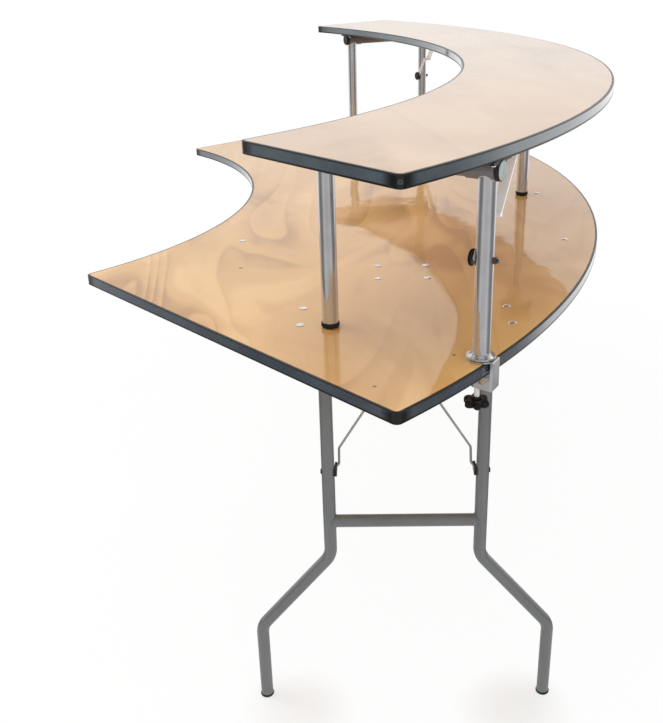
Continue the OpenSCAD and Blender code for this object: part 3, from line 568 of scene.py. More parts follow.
class Graph:
    """A material's nodes round one Principled shader, whose patterns read object coordinates."""

    def __init__(self, name: str) -> None:
        """Starts a material with an output, a shader and object coordinates.

        Args:
            name: The material's name.
        """
        self.material = bpy.data.materials.new(name)
        self.material.use_nodes = True
        self.tree = self.material.node_tree
        self.tree.nodes.clear()
        self.shader = self.node("BsdfPrincipled")
        self.node("OutputMaterial", {"Surface": self.shader.outputs["BSDF"]})
        self.place = self.node("TexCoord").outputs["Object"]

    def node(self, kind: str, feeds: dict | None = None, **settings: str) -> bpy.types.Node:
        """Adds a node to the material, as new_node does."""
        return new_node(self.tree, kind, feeds, **settings)

    def set(self, **values: Feed) -> None:
        """Feeds the shader's inputs; a name's underscores stand for spaces."""
        for name, value in values.items():
            feed(self.tree, value, self.shader.inputs[name.replace("_", " ")])

    def stretched(self, stretch: tuple, turn: float = 0.0, shift: tuple = (0.0, 0.0, 0.0)) -> Socket:
        """Coordinates for a pattern that is longer by the stretch along each axis.

        Args:
            stretch: How many times longer the pattern is along x, y and z.
            turn: Its turn about z in radians.
            shift: Where its origin lies in metres.

        Returns:
            The coordinates.
        """
        feeds = {"Vector": self.place, "Location": shift, "Rotation": (0.0, 0.0, turn), "Scale": stretch}
        return self.node("Mapping", feeds, vector_type="TEXTURE").outputs["Vector"]

    def noise(
        self, vector: Socket, scale: float, detail: float, rough: float = 0.5, bend: float = 0.0
    ) -> Socket:
        """A noise from 0 to 1.

        Args:
            vector: Its coordinates.
            scale: Waves in a metre.
            detail: How many finer noises lie on the first.
            rough: How strong the finer ones are.
            bend: How far the pattern is bent.

        Returns:
            The value.
        """
        feeds = {"Vector": vector, "Scale": scale, "Detail": detail, "Roughness": rough, "Distortion": bend}
        return self.node("TexNoise", feeds).outputs["Fac"]

    def range(self, value: Socket, low: float, high: float, to_low: float, to_high: float) -> Socket:
        """A value taken from one range to another and kept inside it.

        Args:
            value: The value.
            low: Start of its own range.
            high: End of its own range.
            to_low: Start of the new range.
            to_high: End of the new range.

        Returns:
            The new value.
        """
        feeds = {"Value": value, "From Min": low, "From Max": high, "To Min": to_low, "To Max": to_high}
        return self.node("MapRange", feeds).outputs["Result"]

    def spread(self, value: Socket, middle: float, low: float, high: float) -> Socket:
        """A number that goes from low to high times its middle, as a noise goes from 0.3 to 0.7."""
        return self.range(value, 0.3, 0.7, low * middle, high * middle)

    def ramp(self, value: Socket, stops: list) -> Socket:
        """Eased colours by a value from 0 to 1; stops are rows of position and colour."""
        return colour_ramp(self.tree, value, stops, "EASE")

    def tones(self, value: Socket, colour: tuple, low: tuple, high: tuple) -> Socket:
        """A colour that goes from dark to light; low and high each give a value and a share of the colour."""
        return self.ramp(value, [(at, tuple(share * c for c in colour)) for at, share in (low, high)])

    def math(self, kind: str, a: Feed, b: Feed = 0.0) -> Socket:
        """A sum of two values or numbers, by the sum's kind."""
        return self.node("Math", {0: a, 1: b}, operation=kind).outputs[0]

    def mix(self, share: Socket, a: Feed, b: Feed) -> Socket:
        """Colour b over colour a by a share; the node's colours are its inputs 6 and 7 and its output 2."""
        return self.node("Mix", {0: share, 6: a, 7: b}, data_type="RGBA").outputs[2]

    def bump(self, height: Socket, strength: float, distance: float) -> Socket:
        """Raises the surface by a height.

        Args:
            height: The height from 0 to 1.
            strength: How strong the bump is.
            distance: The full height in metres.

        Returns:
            The raised surface's normal.
        """
        feeds = {"Strength": strength, "Distance": distance, "Height": height}
        normal = self.node("Bump", feeds).outputs["Normal"]
        self.set(Normal=normal)
        return normal

    def spot(self, x: float, y: float, inside: float, outside: float) -> Socket:
        """One near an upright line, fading to nothing further out, in metres.

        Args:
            x: The line's x.
            y: The line's y.
            inside: The distance where the fading starts.
            outside: The distance where it ends.

        Returns:
            The value.
        """
        ground = self.node("VectorMath", {0: self.place, 1: (1.0, 1.0, 0.0)}, operation="MULTIPLY")
        away = self.node("VectorMath", {0: ground.outputs[0], 1: (x, y, 0.0)}, operation="DISTANCE")
        return self.range(away.outputs["Value"], inside, outside, 1.0, 0.0)


@dataclass(frozen=True)
class Finish:
    """A finish of one kind of surface; the material is made once and shared."""

    name: str
    slot: Slot

    def material(self) -> bpy.types.Material:
        """The finish's material, made at its first use.

        Returns:
            The material.
        """
        made = bpy.data.materials.get(self.name)
        if made is None:
            graph = Graph(self.name)
            self.paint(graph)
            made = graph.material
        return made

    def paint(self, graph: Graph) -> None:
        """Builds the finish's nodes."""
        raise NotImplementedError


@dataclass(frozen=True)
class Veneer(Finish):
    """Rotary-cut veneer under a clear gloss: growth lines along the board, clouds, fibre and dark knots.

    Sizes are waves in a metre across the grain, and a ratio says how much longer a pattern is along it.
    """

    light: tuple
    middle: tuple
    dark: tuple
    lines: float
    turn: float
    shift: tuple = (0.0, 0.0, 0.0)
    knots: tuple = ()
    grain_ratio: float = 4.2
    fibre_ratio: float = 28.0
    hill_size: float = 3.4
    patch_size: float = 4.0
    cloud_size: float = 4.6
    fibre_size: float = 420.0
    patches: tuple = (0.40, 0.62, 0.2, 1.0)
    shares: tuple = (1.3, 0.24, 0.07)
    tones: tuple = (0.54, 0.76, 1.0)
    knot_fade: float = 2.4
    knot_tone: float = 0.35

    def growth(self, graph: Graph) -> Socket:
        """Growth lines: level lines of a long hilly field, each darker up to its edge, bolder in patches.

        Args:
            graph: The material's nodes.

        Returns:
            The lines' strength.
        """
        along = graph.stretched((1.0, self.grain_ratio, 1.0), self.turn, self.shift)
        hills = graph.noise(along, self.hill_size, 2.0, 0.35, 0.7)
        saw = graph.math("FRACT", graph.math("MULTIPLY", hills, self.lines))
        edge = graph.math("MULTIPLY", graph.math("POWER", saw, 1.6), graph.range(saw, 0.88, 1.0, 1.0, 0.0))
        bold = graph.range(graph.noise(along, self.patch_size, 1.0), *self.patches)
        return graph.math("MULTIPLY", edge, bold)

    def paint(self, graph: Graph) -> None:
        """Adds clouds, growth lines and fibre by their shares, and lays a rippled clear gloss over them.

        Args:
            graph: The material's nodes.
        """
        wide = graph.stretched((1.0, 0.5 * self.grain_ratio, 1.0), self.turn, self.shift)
        fine = graph.stretched((1.0, self.fibre_ratio, 1.0), self.turn, self.shift)
        layers = (
            graph.noise(wide, self.cloud_size, 3.0, 0.45, 1.0),
            self.growth(graph),
            graph.noise(fine, self.fibre_size, 2.0, 0.6),
        )
        cloud, growth, fibre = (graph.math("MULTIPLY", *pair) for pair in zip(layers, self.shares))
        level = graph.math("ADD", graph.math("ADD", cloud, growth), fibre)
        colour = graph.ramp(level, list(zip(self.tones, (self.light, self.middle, self.dark))))
        knot = tuple(self.knot_tone * c for c in self.dark)
        for x, y, size in self.knots:
            colour = graph.mix(graph.spot(x, y, size, size * self.knot_fade), colour, knot)
        ripple = graph.bump(graph.noise(graph.stretched((1.0, 1.6, 1.0)), 16.0, 2.0), 0.7, 0.0010)
        graph.set(Base_Color=colour, Roughness=0.45, IOR=1.45, Specular_IOR_Level=0.15)
        graph.set(Coat_Weight=1.0, Coat_Roughness=0.05, Coat_IOR=1.5, Coat_Normal=ripple)


@dataclass(frozen=True)
class SoftBand(Finish):
    """Glossy moulded edge strip: a slate face, black by height above and below it on the lips, and painted
    black where it rounds a corner as a painted dark reflection.

    The strip's top and depth are in metres; face holds the heights over its foot where the slate starts,
    is full, starts to end and ends.
    """

    colour: tuple
    top: float
    depth: float = 0.018
    face: tuple = (0.0029, 0.0036, 0.0158, 0.0164)
    # Black for the lips, and also the painted dark reflection where the strip rounds a corner.
    lip: tuple = (0.004, 0.004, 0.004)
    rough: float = 0.09
    lip_rough: float = 0.30
    # Centres of the rounded corners, where the colour is painted black as a dark reflection, and how far that
    # fades.
    corners: tuple = ()
    painted_corner_reflection_fade: tuple = (0.0106, 0.0230)

    def paint(self, graph: Graph) -> None:
        """The slate's share is a step up and a step down with height, and falls to black round each corner as
        a painted dark reflection; a slow mottle changes tone and gloss.

        Args:
            graph: The material's nodes.
        """
        height = graph.node("SeparateXYZ", {"Vector": graph.place}).outputs["Z"]
        start, full, fall, end = (self.top - self.depth + z for z in self.face)
        above = graph.range(height, start, full, 0.0, 1.0)
        face = graph.math("MULTIPLY", above, graph.range(height, fall, end, 1.0, 0.0))
        # Painted dark reflection: the slate fades to the lip black round each rounded corner.
        for x, y in self.corners:
            rounding = graph.spot(x, y, *self.painted_corner_reflection_fade)
            face = graph.math("MULTIPLY", face, graph.math("SUBTRACT", 1.0, rounding))
        mottle = graph.noise(graph.place, 9.0, 4.0, 0.6)
        slate = graph.tones(mottle, self.colour, (0.3, 0.75), (0.7, 1.3))
        sheen = graph.spread(mottle, self.rough, 0.8, 1.3)
        rough = graph.math("MAXIMUM", sheen, graph.range(face, 0.0, 1.0, self.lip_rough, 0.0))
        # Where the face share is nothing the colour is the lip black: on the lips by height, and round the
        # corners as a painted dark reflection.
        graph.set(Base_Color=graph.mix(face, self.lip, slate), Roughness=rough, IOR=1.5)
        graph.set(Coat_Weight=face, Coat_Roughness=0.05, Coat_IOR=1.6)
        graph.bump(graph.noise(graph.place, 45.0, 2.0), 0.10, 0.0006)


@dataclass(frozen=True)
class Coating(Finish):
    """Baked paint on steel: fine orange peel, and a slightly uneven sheen."""

    colour: tuple
    rough: float
    coat: float = 0.6
    peel: float = 0.02

    def paint(self, graph: Graph) -> None:
        """Tone and gloss follow a slow noise, and the peel a fine one.

        Args:
            graph: The material's nodes.
        """
        slow = graph.noise(graph.place, 9.0, 2.0)
        graph.set(Base_Color=graph.tones(slow, self.colour, (0.3, 0.94), (0.7, 1.06)), IOR=1.45)
        graph.set(Roughness=graph.spread(slow, self.rough, 0.85, 1.2))
        graph.set(Coat_Weight=self.coat, Coat_Roughness=0.07, Coat_IOR=1.5)
        graph.bump(graph.noise(graph.place, 700.0, 1.0), self.peel, 0.0003)


@dataclass(frozen=True)
class BareMetal(Finish):
    """Bare metal: its tint with a slow change of gloss, and the fine grain of a casting if it is one."""

    colour: tuple
    rough: float
    metal: float
    grain: float = 0.0

    def paint(self, graph: Graph) -> None:
        """Tone and gloss follow a slow noise, and the grain a fine one.

        Args:
            graph: The material's nodes.
        """
        slow = graph.noise(graph.place, 22.0, 2.0)
        graph.set(Base_Color=graph.tones(slow, self.colour, (0.35, 0.90), (0.65, 1.0)))
        graph.set(Roughness=graph.spread(slow, self.rough, 0.9, 1.15), Metallic=self.metal)
        if self.grain > 0:
            graph.bump(graph.noise(graph.place, 650.0, 3.0, 0.6), self.grain, 0.0002)


@dataclass(frozen=True)
class Moulded(Finish):
    """Moulded plastic or rubber with a fine matt texture."""

    colour: tuple
    rough: float
    texture: float

    def paint(self, graph: Graph) -> None:
        """Wear in tone and gloss follows a slow noise, and the texture a very fine one.

        Args:
            graph: The material's nodes.
        """
        slow = graph.noise(graph.place, 40.0, 3.0, 0.6)
        worn = tuple(1.4 * c + 0.002 for c in self.colour)
        graph.set(Base_Color=graph.ramp(slow, [(0.35, self.colour), (0.75, worn)]))
        graph.set(Roughness=graph.spread(slow, self.rough, 0.85, 1.15), Specular_IOR_Level=0.22)
        graph.bump(graph.noise(graph.place, 1500.0, 2.0), self.texture, 0.0002)


HONEY_BOARD = Veneer(
    "honey gloss board", Slot.TABLE_WOOD,
    light=(0.72, 0.43, 0.16), middle=(0.62, 0.34, 0.11), dark=(0.42, 0.20, 0.05), lines=15.0, turn=0.05,
    knots=((-0.2268, -0.5128, 0.0022), (0.0134, -0.9988, 0.0016), (0.1251, -0.9012, 0.0014)),
)
PALE_BOARD = Veneer(
    "pale gloss board", Slot.SHELF_WOOD,
    light=(0.62, 0.41, 0.235), middle=(0.565, 0.355, 0.20), dark=(0.47, 0.28, 0.145), lines=8.0, turn=0.08,
    shift=(3.0, 1.0, 0.0),
)
TABLE_BAND = SoftBand("slate table band", Slot.EDGE_BAND, (0.048, 0.060, 0.078), top=0.762)
SHELF_BAND = SoftBand("slate shelf band", Slot.EDGE_BAND, (0.058, 0.078, 0.092), top=1.061)
LEG_PAINT = Coating("satin grey leg paint", Slot.LEG_METAL, (0.142, 0.147, 0.150), 0.24)
TUBE_PAINT = Coating("dark grey tube paint", Slot.LEG_METAL, (0.125, 0.125, 0.125), 0.34)
BLACK_PAINT = Coating("black enamel", Slot.BLACK_STEEL, (0.010, 0.010, 0.011), 0.34, coat=0.0)
DARK_STEEL = BareMetal("dark plated steel", Slot.BRIGHT_STEEL, (0.16, 0.155, 0.15), 0.32, 1.0)
WIRE_STEEL = BareMetal("bright steel wire", Slot.BRIGHT_STEEL, (0.56, 0.56, 0.57), 0.20, 0.80)
POST_METAL = BareMetal("satin plated post", Slot.CHROME, (0.66, 0.66, 0.68), 0.10, 0.84)
# Plated steel with a near-white diffuse colour and little metal: partly its own light plating, partly a
# painted reflection of the white surround.
PAINTED_REFLECTION_ZINC = BareMetal("zinc plate with painted white reflection", Slot.BRIGHT_STEEL, (0.92, 0.93, 0.94), 0.30, 0.12)
BOLT_METAL = BareMetal("plated bolt head", Slot.BRIGHT_STEEL, (0.80, 0.77, 0.76), 0.16, 0.95)
CAST_METAL = BareMetal("satin cast aluminium", Slot.ALUMINIUM, (0.62, 0.625, 0.635), 0.24, 0.9, grain=0.04)
RUBBER = Moulded("matt black rubber", Slot.RUBBER, (0.012, 0.012, 0.012), 0.62, 0.15)
BLACK_KNOB = Moulded("satin black plastic", Slot.BLACK_PLASTIC, (0.006, 0.006, 0.006), 0.34, 0.05)
# Grey plastic for the clamp's swivel pad; on the outer end plugs the grey is a painted reflection on the
# plug's face.
GREY_PAD_AND_PAINTED_PLUG_REFLECTION = Moulded("satin grey plastic, painted plug reflection", Slot.GREY_PLASTIC, (0.30, 0.32, 0.33), 0.40, 0.05)


@dataclass
class CurvedBoard:
    """A board whose outline is part of a ring, with a soft band round its edge."""

    inner_r: float
    outer_r: float
    top: float
    half_sweep: float = 45.0
    thick: float = 18.0
    corner: float = 10.0
    band: float = 4.0

    def rounding(self, radius: float, side: float) -> tuple[float, float]:
        """Where a corner's arc has its centre.

        Args:
            radius: The board's arc that the corner rounds into.
            side: One for the outer arc, and minus one for the inner one.

        Returns:
            The centre's distance from the arcs' centre, and the angle from the board's end to it.
        """
        mid = radius - side * self.corner
        return mid, math.asin(self.corner / mid)

    def outline(self) -> tuple[Array, Array]:
        """The outline and its outward normals, all the way round.

        The outer arc runs between the two ends, then come a corner's arc, the straight end, the other
        corner's arc and the inner arc back; the corner arcs touch both of their neighbours.

        Returns:
            Points and unit normals, seen from above in local millimetres.
        """
        half = math.radians(self.half_sweep)
        outer_mid, outer_bite = self.rounding(self.outer_r, 1)
        inner_mid, inner_bite = self.rounding(self.inner_r, -1)
        outer_t = np.linspace(-half + outer_bite, half - outer_bite, 220)
        inner_t = np.linspace(half - inner_bite, -half + inner_bite, 160)
        c, s = math.cos(half), math.sin(half)
        swing = np.array([[c, s], [-s, c]])
        end_points, end_normals = [], []
        for mid, bite, start, end in (
            (outer_mid, outer_bite, -outer_bite, math.pi / 2),
            (inner_mid, inner_bite, math.pi / 2, math.pi - inner_bite),
        ):
            t = np.linspace(start, end, 15)
            normal = np.stack([np.cos(t), np.sin(t)], -1)
            centre = mid * np.array([math.cos(bite), -math.sin(bite)])
            end_points.append((centre + self.corner * normal) @ swing)
            end_normals.append(normal @ swing)
        outer_n = np.stack([np.cos(outer_t), np.sin(outer_t)], -1)
        inner_n = -np.stack([np.cos(inner_t), np.sin(inner_t)], -1)
        rounds = []
        for outer, (first, second), inner in (
            (self.outer_r * outer_n, end_points, -self.inner_r * inner_n),
            (outer_n, end_normals, inner_n),
        ):
            mirrored = [(part * np.array([1.0, -1.0]))[::-1] for part in (second, first)]
            rounds.append(
                np.concatenate([outer, first[1:], second, inner[1:], mirrored[0][1:], mirrored[1][:-1]])
            )
        return rounds[0], rounds[1]

    def band_profile(self) -> Array:
        """The band's section: a flat face between a narrow round lip on top and a fuller one below.

        Returns:
            Rows of how far the section stands out and its height.
        """
        low = self.top - self.thick
        corners = [
            (-self.band, low), (-1.1, low), (0.0, low + 1.1), (0.0, low + 2.4), (-0.5, low + 3.2),
            (-0.25, low + 9.0), (-0.4, self.top - 2.1), (0.0, self.top - 1.5), (0.0, self.top - 0.9),
            (-0.9, self.top), (-self.band, self.top),
        ]
        return eased(corners, 0.9, 3)

    def corner_places(self, station: Station) -> tuple:
        """The centres of the four rounded corners.

        Args:
            station: The centre of the arcs.

        Returns:
            Rows of x and y in metres.
        """
        places = []
        for radius, side in ((self.outer_r, 1), (self.inner_r, -1)):
            mid, bite = self.rounding(radius, side)
            turn = math.radians(self.half_sweep) - bite
            for end in (-1, 1):
                x, y, _ = station.place((mid * math.cos(turn), end * mid * math.sin(turn), 0.0))
                places.append((float(x), float(y)))
        return tuple(places)

    def edge_strip(self, name: str, body: str, node: str, finish: SoftBand) -> None:
        """Carries the band's section round the outline.

        Each ring is the outline moved along its normals by the section's offset, at the section's height.

        Args:
            name: The piece's name.
            body: The body that it moves with.
            node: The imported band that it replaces.
            finish: The band's finish.
        """
        points, normals = self.outline()
        profile = self.band_profile()
        flat = points[None] + profile[:, 0][:, None, None] * normals[None]
        centre = arc_centre_station()
        piece = Skin(centre).sheet(lifted(flat, profile), along=True).mesh(name, 50.0)
        # The corner places set where the band's colour is painted black as a dark reflection.
        fit(piece, body, replace(finish, corners=self.corner_places(centre)), node)


@dataclass
class TableTop(CurvedBoard):
    """The wide lower board with its band, its low bolts, and the saddles and brackets under it."""

    inner_r: float = 762.0
    outer_r: float = 1524.0
    top: float = 762.0
    bolt_d: float = 6.0
    head_d: float = 13.0
    head_h: float = 1.6
    nut_h: float = 5.0
    plate: float = 2.5
    saddle_x: float = 161.5
    saddle_half: float = 35.0
    bracket_x: float = 43.0
    bracket_y: tuple = (174.0, 242.0)
    spares: tuple = (
        (1421.0, 0.0), (865.0, 23.8), (865.0, -23.8), (1463.0, 14.2), (1463.0, -14.2),
    )

    def bolt(self, skin: Skin, x: float, y: float, held: float) -> None:
        """Adds a bolt: a low domed head on the board, and a six-sided nut with the bolt's end below.

        Args:
            skin: The piece to add to.
            x: Place along the station's right.
            y: Place along its fold.
            held: Thickness of what the nut presses on.
        """
        t = np.linspace(0, math.pi / 2, 7)
        edge = 0.25 * self.head_h
        dome = np.stack([self.head_d / 2 * np.cos(t) ** 0.75, edge + (self.head_h - edge) * np.sin(t)], -1)
        head = np.concatenate([[(0.0, 0.0), (self.head_d / 2, 0.0)], dome])
        skin.spin(head, (x, y, self.top), UP, 40)
        low = (x, y, self.top - self.thick - held - self.nut_h)
        nut_r, r = self.bolt_d * 0.98, self.bolt_d / 2
        nut = [(0, 0), (self.bolt_d * 0.9, 0), (nut_r, 0.5), (nut_r, self.nut_h)]
        skin.spin(nut, low, UP, 6, 0.3, 2)
        skin.spin([(0, -1.2), (r - 0.6, -1.2), (r, -0.6), (r, 1.0)], low, UP, 24, 0.3, 2)

    def build(self) -> None:
        """Builds the band and the bolts, and dresses the board and its ironwork."""
        self.edge_strip("table_edge_strip", "table", "table_edge_band", TABLE_BAND)
        dress_board("table_top", HONEY_BOARD)
        skin = Skin(arc_centre_station())
        for radius, angle in self.spares:
            a = math.radians(angle)
            self.bolt(skin, radius * math.cos(a), radius * math.sin(a), 0.0)
        for half in Half:
            skin.station = leg_station(half)
            for sx in (-1, 1):
                for sy in (-1, 1):
                    self.bolt(skin, sx * self.saddle_x, sy * self.saddle_half, self.plate)
                for y in self.bracket_y:
                    self.bolt(skin, sx * self.bracket_x, y, self.plate)
        fit(skin.mesh("table_bolt_set"), "table", BOLT_METAL, "table_bolts")
        fit_copy("hinge_saddles", "leg_hinge_saddles", "table", LEG_PAINT)
        fit_copy("brace_brackets", "leg_brace_brackets", "table", LEG_PAINT)


@dataclass
class BarShelf(CurvedBoard):
    """The raised shelf with its band, and the saddles, brackets and screws under it."""

    inner_r: float = 1238.0
    outer_r: float = 1530.0
    top: float = 1061.0
    screw_head_d: float = 6.8
    screw_head_h: float = 1.8
    saddle_foot: float = 4.0
    bracket_foot: float = 2.0
    screw_half: float = 23.0
    end_screws: tuple = (-16.9, 263.9)
    mid_screws: tuple = (-29.0, 29.0)
    bracket_screw_x: float = 16.5
    bracket_screw_y: float = 87.0
    rivet_d: float = 7.0

    def screw(self, skin: Skin, x: float, y: float, held: float) -> None:
        """Adds a screw's domed head, with a small round sink for its recess.

        Args:
            skin: The piece to add to.
            x: Place along the station's right.
            y: Place along its fold.
            held: Thickness of what the head presses on.
        """
        r, h = self.screw_head_d / 2, self.screw_head_h
        head = [
            (0, 0), (r * 0.9, 0), (r, 0.5), (r * 0.82, 0.78 * h), (r * 0.42, h), (r * 0.3, h),
            (r * 0.24, h * 0.35), (0, h * 0.3),
        ]
        skin.spin(head, (x, y, self.top - self.thick - held), -UP, 28, 0.35)

    def frame_screws(self, skin: Skin, saddles: Station, xs: tuple, bracket: Station) -> None:
        """Adds the screws of one frame's saddles and of its brace's bracket.

        Args:
            skin: The piece to add to.
            saddles: The station that the saddles are placed from.
            xs: Where their screws lie along its right.
            bracket: The station of the post under the bracket.
        """
        skin.station = saddles
        for x in xs:
            for side in (-1, 1):
                self.screw(skin, x, side * self.screw_half, self.saddle_foot)
        skin.station = bracket
        for side in (-1, 1):
            self.screw(skin, side * self.bracket_screw_x, self.bracket_screw_y, self.bracket_foot)

    def end_rivet(self, skin: Skin, side: int) -> None:
        """Adds the small round head that pins the band at an outer corner, flush with the lips.

        Args:
            skin: The piece to add to.
            side: Which end, as the sign of the angle.
        """
        half = math.radians(self.half_sweep)
        mid, bite = self.rounding(self.outer_r, 1)
        turn = half + (math.pi / 2 - bite) / 2
        normal = np.array([math.cos(turn), side * math.sin(turn), 0.0])
        x, y = mid * math.cos(half - bite), side * mid * math.sin(half - bite)
        centre = np.array([x, y, self.top - self.thick / 2])
        r = self.rivet_d / 2
        head = [(0, 0), (r, 0), (r, 1.2), (r * 0.7, 1.75), (r * 0.3, 1.75), (r * 0.22, 1.2), (0, 1.2)]
        skin.spin(head, centre + (self.corner - 1.8) * normal, normal, 28, 0.3)

    def build(self) -> None:
        """Builds the band, rivets and screws, and dresses the board and its ironwork."""
        self.edge_strip("shelf_edge_strip", "riser", "riser_edge_band", SHELF_BAND)
        dress_board("riser_top", PALE_BOARD)
        skin = Skin(arc_centre_station())
        for half in Half:
            outer = outer_post_station(half)
            self.frame_screws(skin, outer.shifted(-EndFrame.span), self.end_screws, outer)
        middle = middle_post_station()
        self.frame_screws(skin, middle, self.mid_screws, middle)
        fit(skin.mesh("shelf_screw_set"), "riser", PAINTED_REFLECTION_ZINC, "riser_screws")
        rivets = Skin(arc_centre_station())
        for side in (-1, 1):
            self.end_rivet(rivets, side)
        fit(rivets.mesh("band_end_rivets"), "riser", DARK_STEEL)
        fit_copy("riser_saddles", "tube_saddles", "riser", BLACK_PAINT)
        fit_copy("riser_brackets", "riser_brace_ears", "riser", PAINTED_REFLECTION_ZINC, 0.3)


@dataclass
class FoldingLeg:
    """A leg of two bent tubes on a hinge tube, with a crossbar, glides and the clips of its brace."""

    half: Half
    tube_d: float = 22.0
    wall: float = 1.5
    upright_x: float = 129.5
    foot_x: float = 258.0
    hinge_z: float = 720.0
    hinge_half: float = 178.0
    flare_z: float = 328.0
    foot_bend_z: float = 145.742
    flare_angle: float = 40.0
    bend_r: float = 40.0
    crossbar_z: float = 384.0
    glide_h: float = 5.0
    glide_lip: float = 1.2
    weld: float = 1.3

    def tubes(self, skin: Skin) -> None:
        """Adds the two uprights, each one tube along its bent centre line.

        Args:
            skin: The piece to add to.
        """
        lift = self.bend_r * math.tan(math.radians(self.flare_angle / 2))
        for side in (-1, 1):
            upright, foot = side * self.upright_x, side * self.foot_x
            corners = [
                (upright, 0, self.hinge_z - 2), (upright, 0, self.flare_z - lift),
                (foot, 0, self.foot_bend_z + lift), (foot, 0, self.glide_h / 4),
            ]
            skin.solid(pipe(bent(corners, self.bend_r, 16), self.tube_d / 2, (0, 1, 0), 48))

    def seam(self, skin: Skin, at: tuple, along: Array, into: Array) -> None:
        """Adds a weld bead where one tube's end meets the side of another.

        The bead's centre line lies on both tubes: at radius r round the first tube's axis, and at the depth
        sqrt(R^2 - (r sin t)^2) along it from the second tube's axis, with small ripples as it goes round.

        Args:
            skin: The piece to add to.
            at: Where the two axes meet.
            along: Unit direction of the first tube, away from the second.
            into: Unit direction of the second tube.
        """
        r = self.tube_d / 2
        t = turns(72)[:, None]
        out = np.cos(t) * into + np.sin(t) * np.cross(along, into)
        depth = np.sqrt(np.maximum((r + 0.3) ** 2 - (r * np.sin(t)) ** 2, (0.35 * r) ** 2))
        line = np.asarray(at, float) + r * out + depth * along
        skin.sheet(bead(line, unit(out), self.weld * (1 + 0.12 * np.sin(18 * t))), along=True)

    def build(self) -> None:
        """Builds the leg's pieces."""
        name, body = self.half.value, f"{self.half.value}_leg"
        station = leg_station(self.half)
        r, end = self.tube_d / 2, self.hinge_half
        pair, bar, feet = Skin(station), Skin(station), Skin(station)
        self.tubes(pair)
        bar.spin([(r, -self.upright_x), (r, self.upright_x)], (0, 0, self.crossbar_z), ALONG, 48)
        for side in (-1, 1):
            x = side * self.upright_x
            self.seam(pair, (x, 0, self.hinge_z), -UP, ALONG)
            self.seam(bar, (x, 0, self.crossbar_z), -side * ALONG, UP)
            glide = cup(r + self.glide_lip, r, self.glide_h, 1.6)
            feet.spin(glide, (side * self.foot_x, 0, 0), UP, 48, 1.0, 4)
        fit(pair.mesh(f"{name}_leg_pair"), body, LEG_PAINT, f"{name}_leg_tubes")
        fit(bar.mesh(f"{name}_leg_crossbar"), body, LEG_PAINT, f"{name}_crossbar")
        bore = r - self.wall
        wall = [(r - 0.4, -end), (r, -end + 0.4), (r, end - 0.4), (r - 0.4, end), (bore, end), (bore, -end)]
        hinge = Skin(station).sheet(turned(wall, (0, 0, self.hinge_z), ALONG, 48), along=True)
        fit(hinge.mesh(f"{name}_hinge_pipe"), body, LEG_PAINT, f"{name}_hinge_tube")
        glides = feet.mesh(f"{name}_foot_glides")
        fit(glides, body, RUBBER, f"{name}_leg_glides", slot=Slot.GREY_PLASTIC)
        fit_copy(f"{name}_brace_clips", f"{name}_leg_clips", body, BLACK_PAINT)


@dataclass
class LegBrace:
    """The brace of a leg: two bent wires up to the joint, and two flat links on to the ceiling pin."""

    half: Half
    wire_d: float = 4.4
    clip: tuple = (17.0, 483.0)
    ceiling: tuple = (160.0, 737.0)
    clip_x: float = 116.5
    clip_t: float = 4.0
    wire_in: float = 3.0
    wire_past: float = 3.0
    wire_start: float = 30.0
    wire_len: float = 107.244
    link_t: float = 3.0
    pin_x: float = 56.0
    bend_r: float = 6.0
    eye_r: float = 4.5

    def wires(self, skin: Skin) -> None:
        """Adds the wires: in through the clip, round a tight bend, and straight on to a flattened eye.

        Args:
            skin: The piece to add to.
        """
        clip = np.array(self.clip)
        run = unit(np.array(self.ceiling) - clip)
        joint = clip + self.wire_len * run
        bend = clip + self.wire_start * run
        half_eye = self.link_t / 2
        turn_x = self.clip_x - self.clip_t / 2 - self.wire_in
        eye_x = self.pin_x + half_eye
        r, rim = self.eye_r, self.eye_r - 0.2
        eye = [(rim, -half_eye), (r, -half_eye + 0.4), (r, half_eye - 0.4), (rim, half_eye)]
        normal = unit(np.cross((1.0, 0.0, 0.0), (0.0, *run)))
        for side in (-1, 1):
            corners = [
                (side * (self.clip_x + self.clip_t / 2 + self.wire_past), *clip),
                (side * turn_x, *clip), (side * turn_x, *bend),
                (side * (eye_x + self.wire_d / 2), *(joint - half_eye * run)),
            ]
            line = bent(corners, self.bend_r, 8)
            size = np.full(len(line), self.wire_d / 2)
            size[0] *= 0.75
            skin.solid(pipe(line, size, normal, 24))
            skin.spin(eye, (side * eye_x, *joint), ALONG, 32, 0.3, 2)

    def build(self) -> None:
        """Builds the brace's pieces."""
        name = self.half.value
        skin = Skin(leg_station(self.half))
        self.wires(skin)
        fit(skin.mesh(f"{name}_bent_wires"), f"{name}_wires", WIRE_STEEL, f"{name}_brace_wires")
        fit_copy(f"{name}_brace_links", f"{name}_flat_links", f"{name}_links", BLACK_PAINT, 0.4)


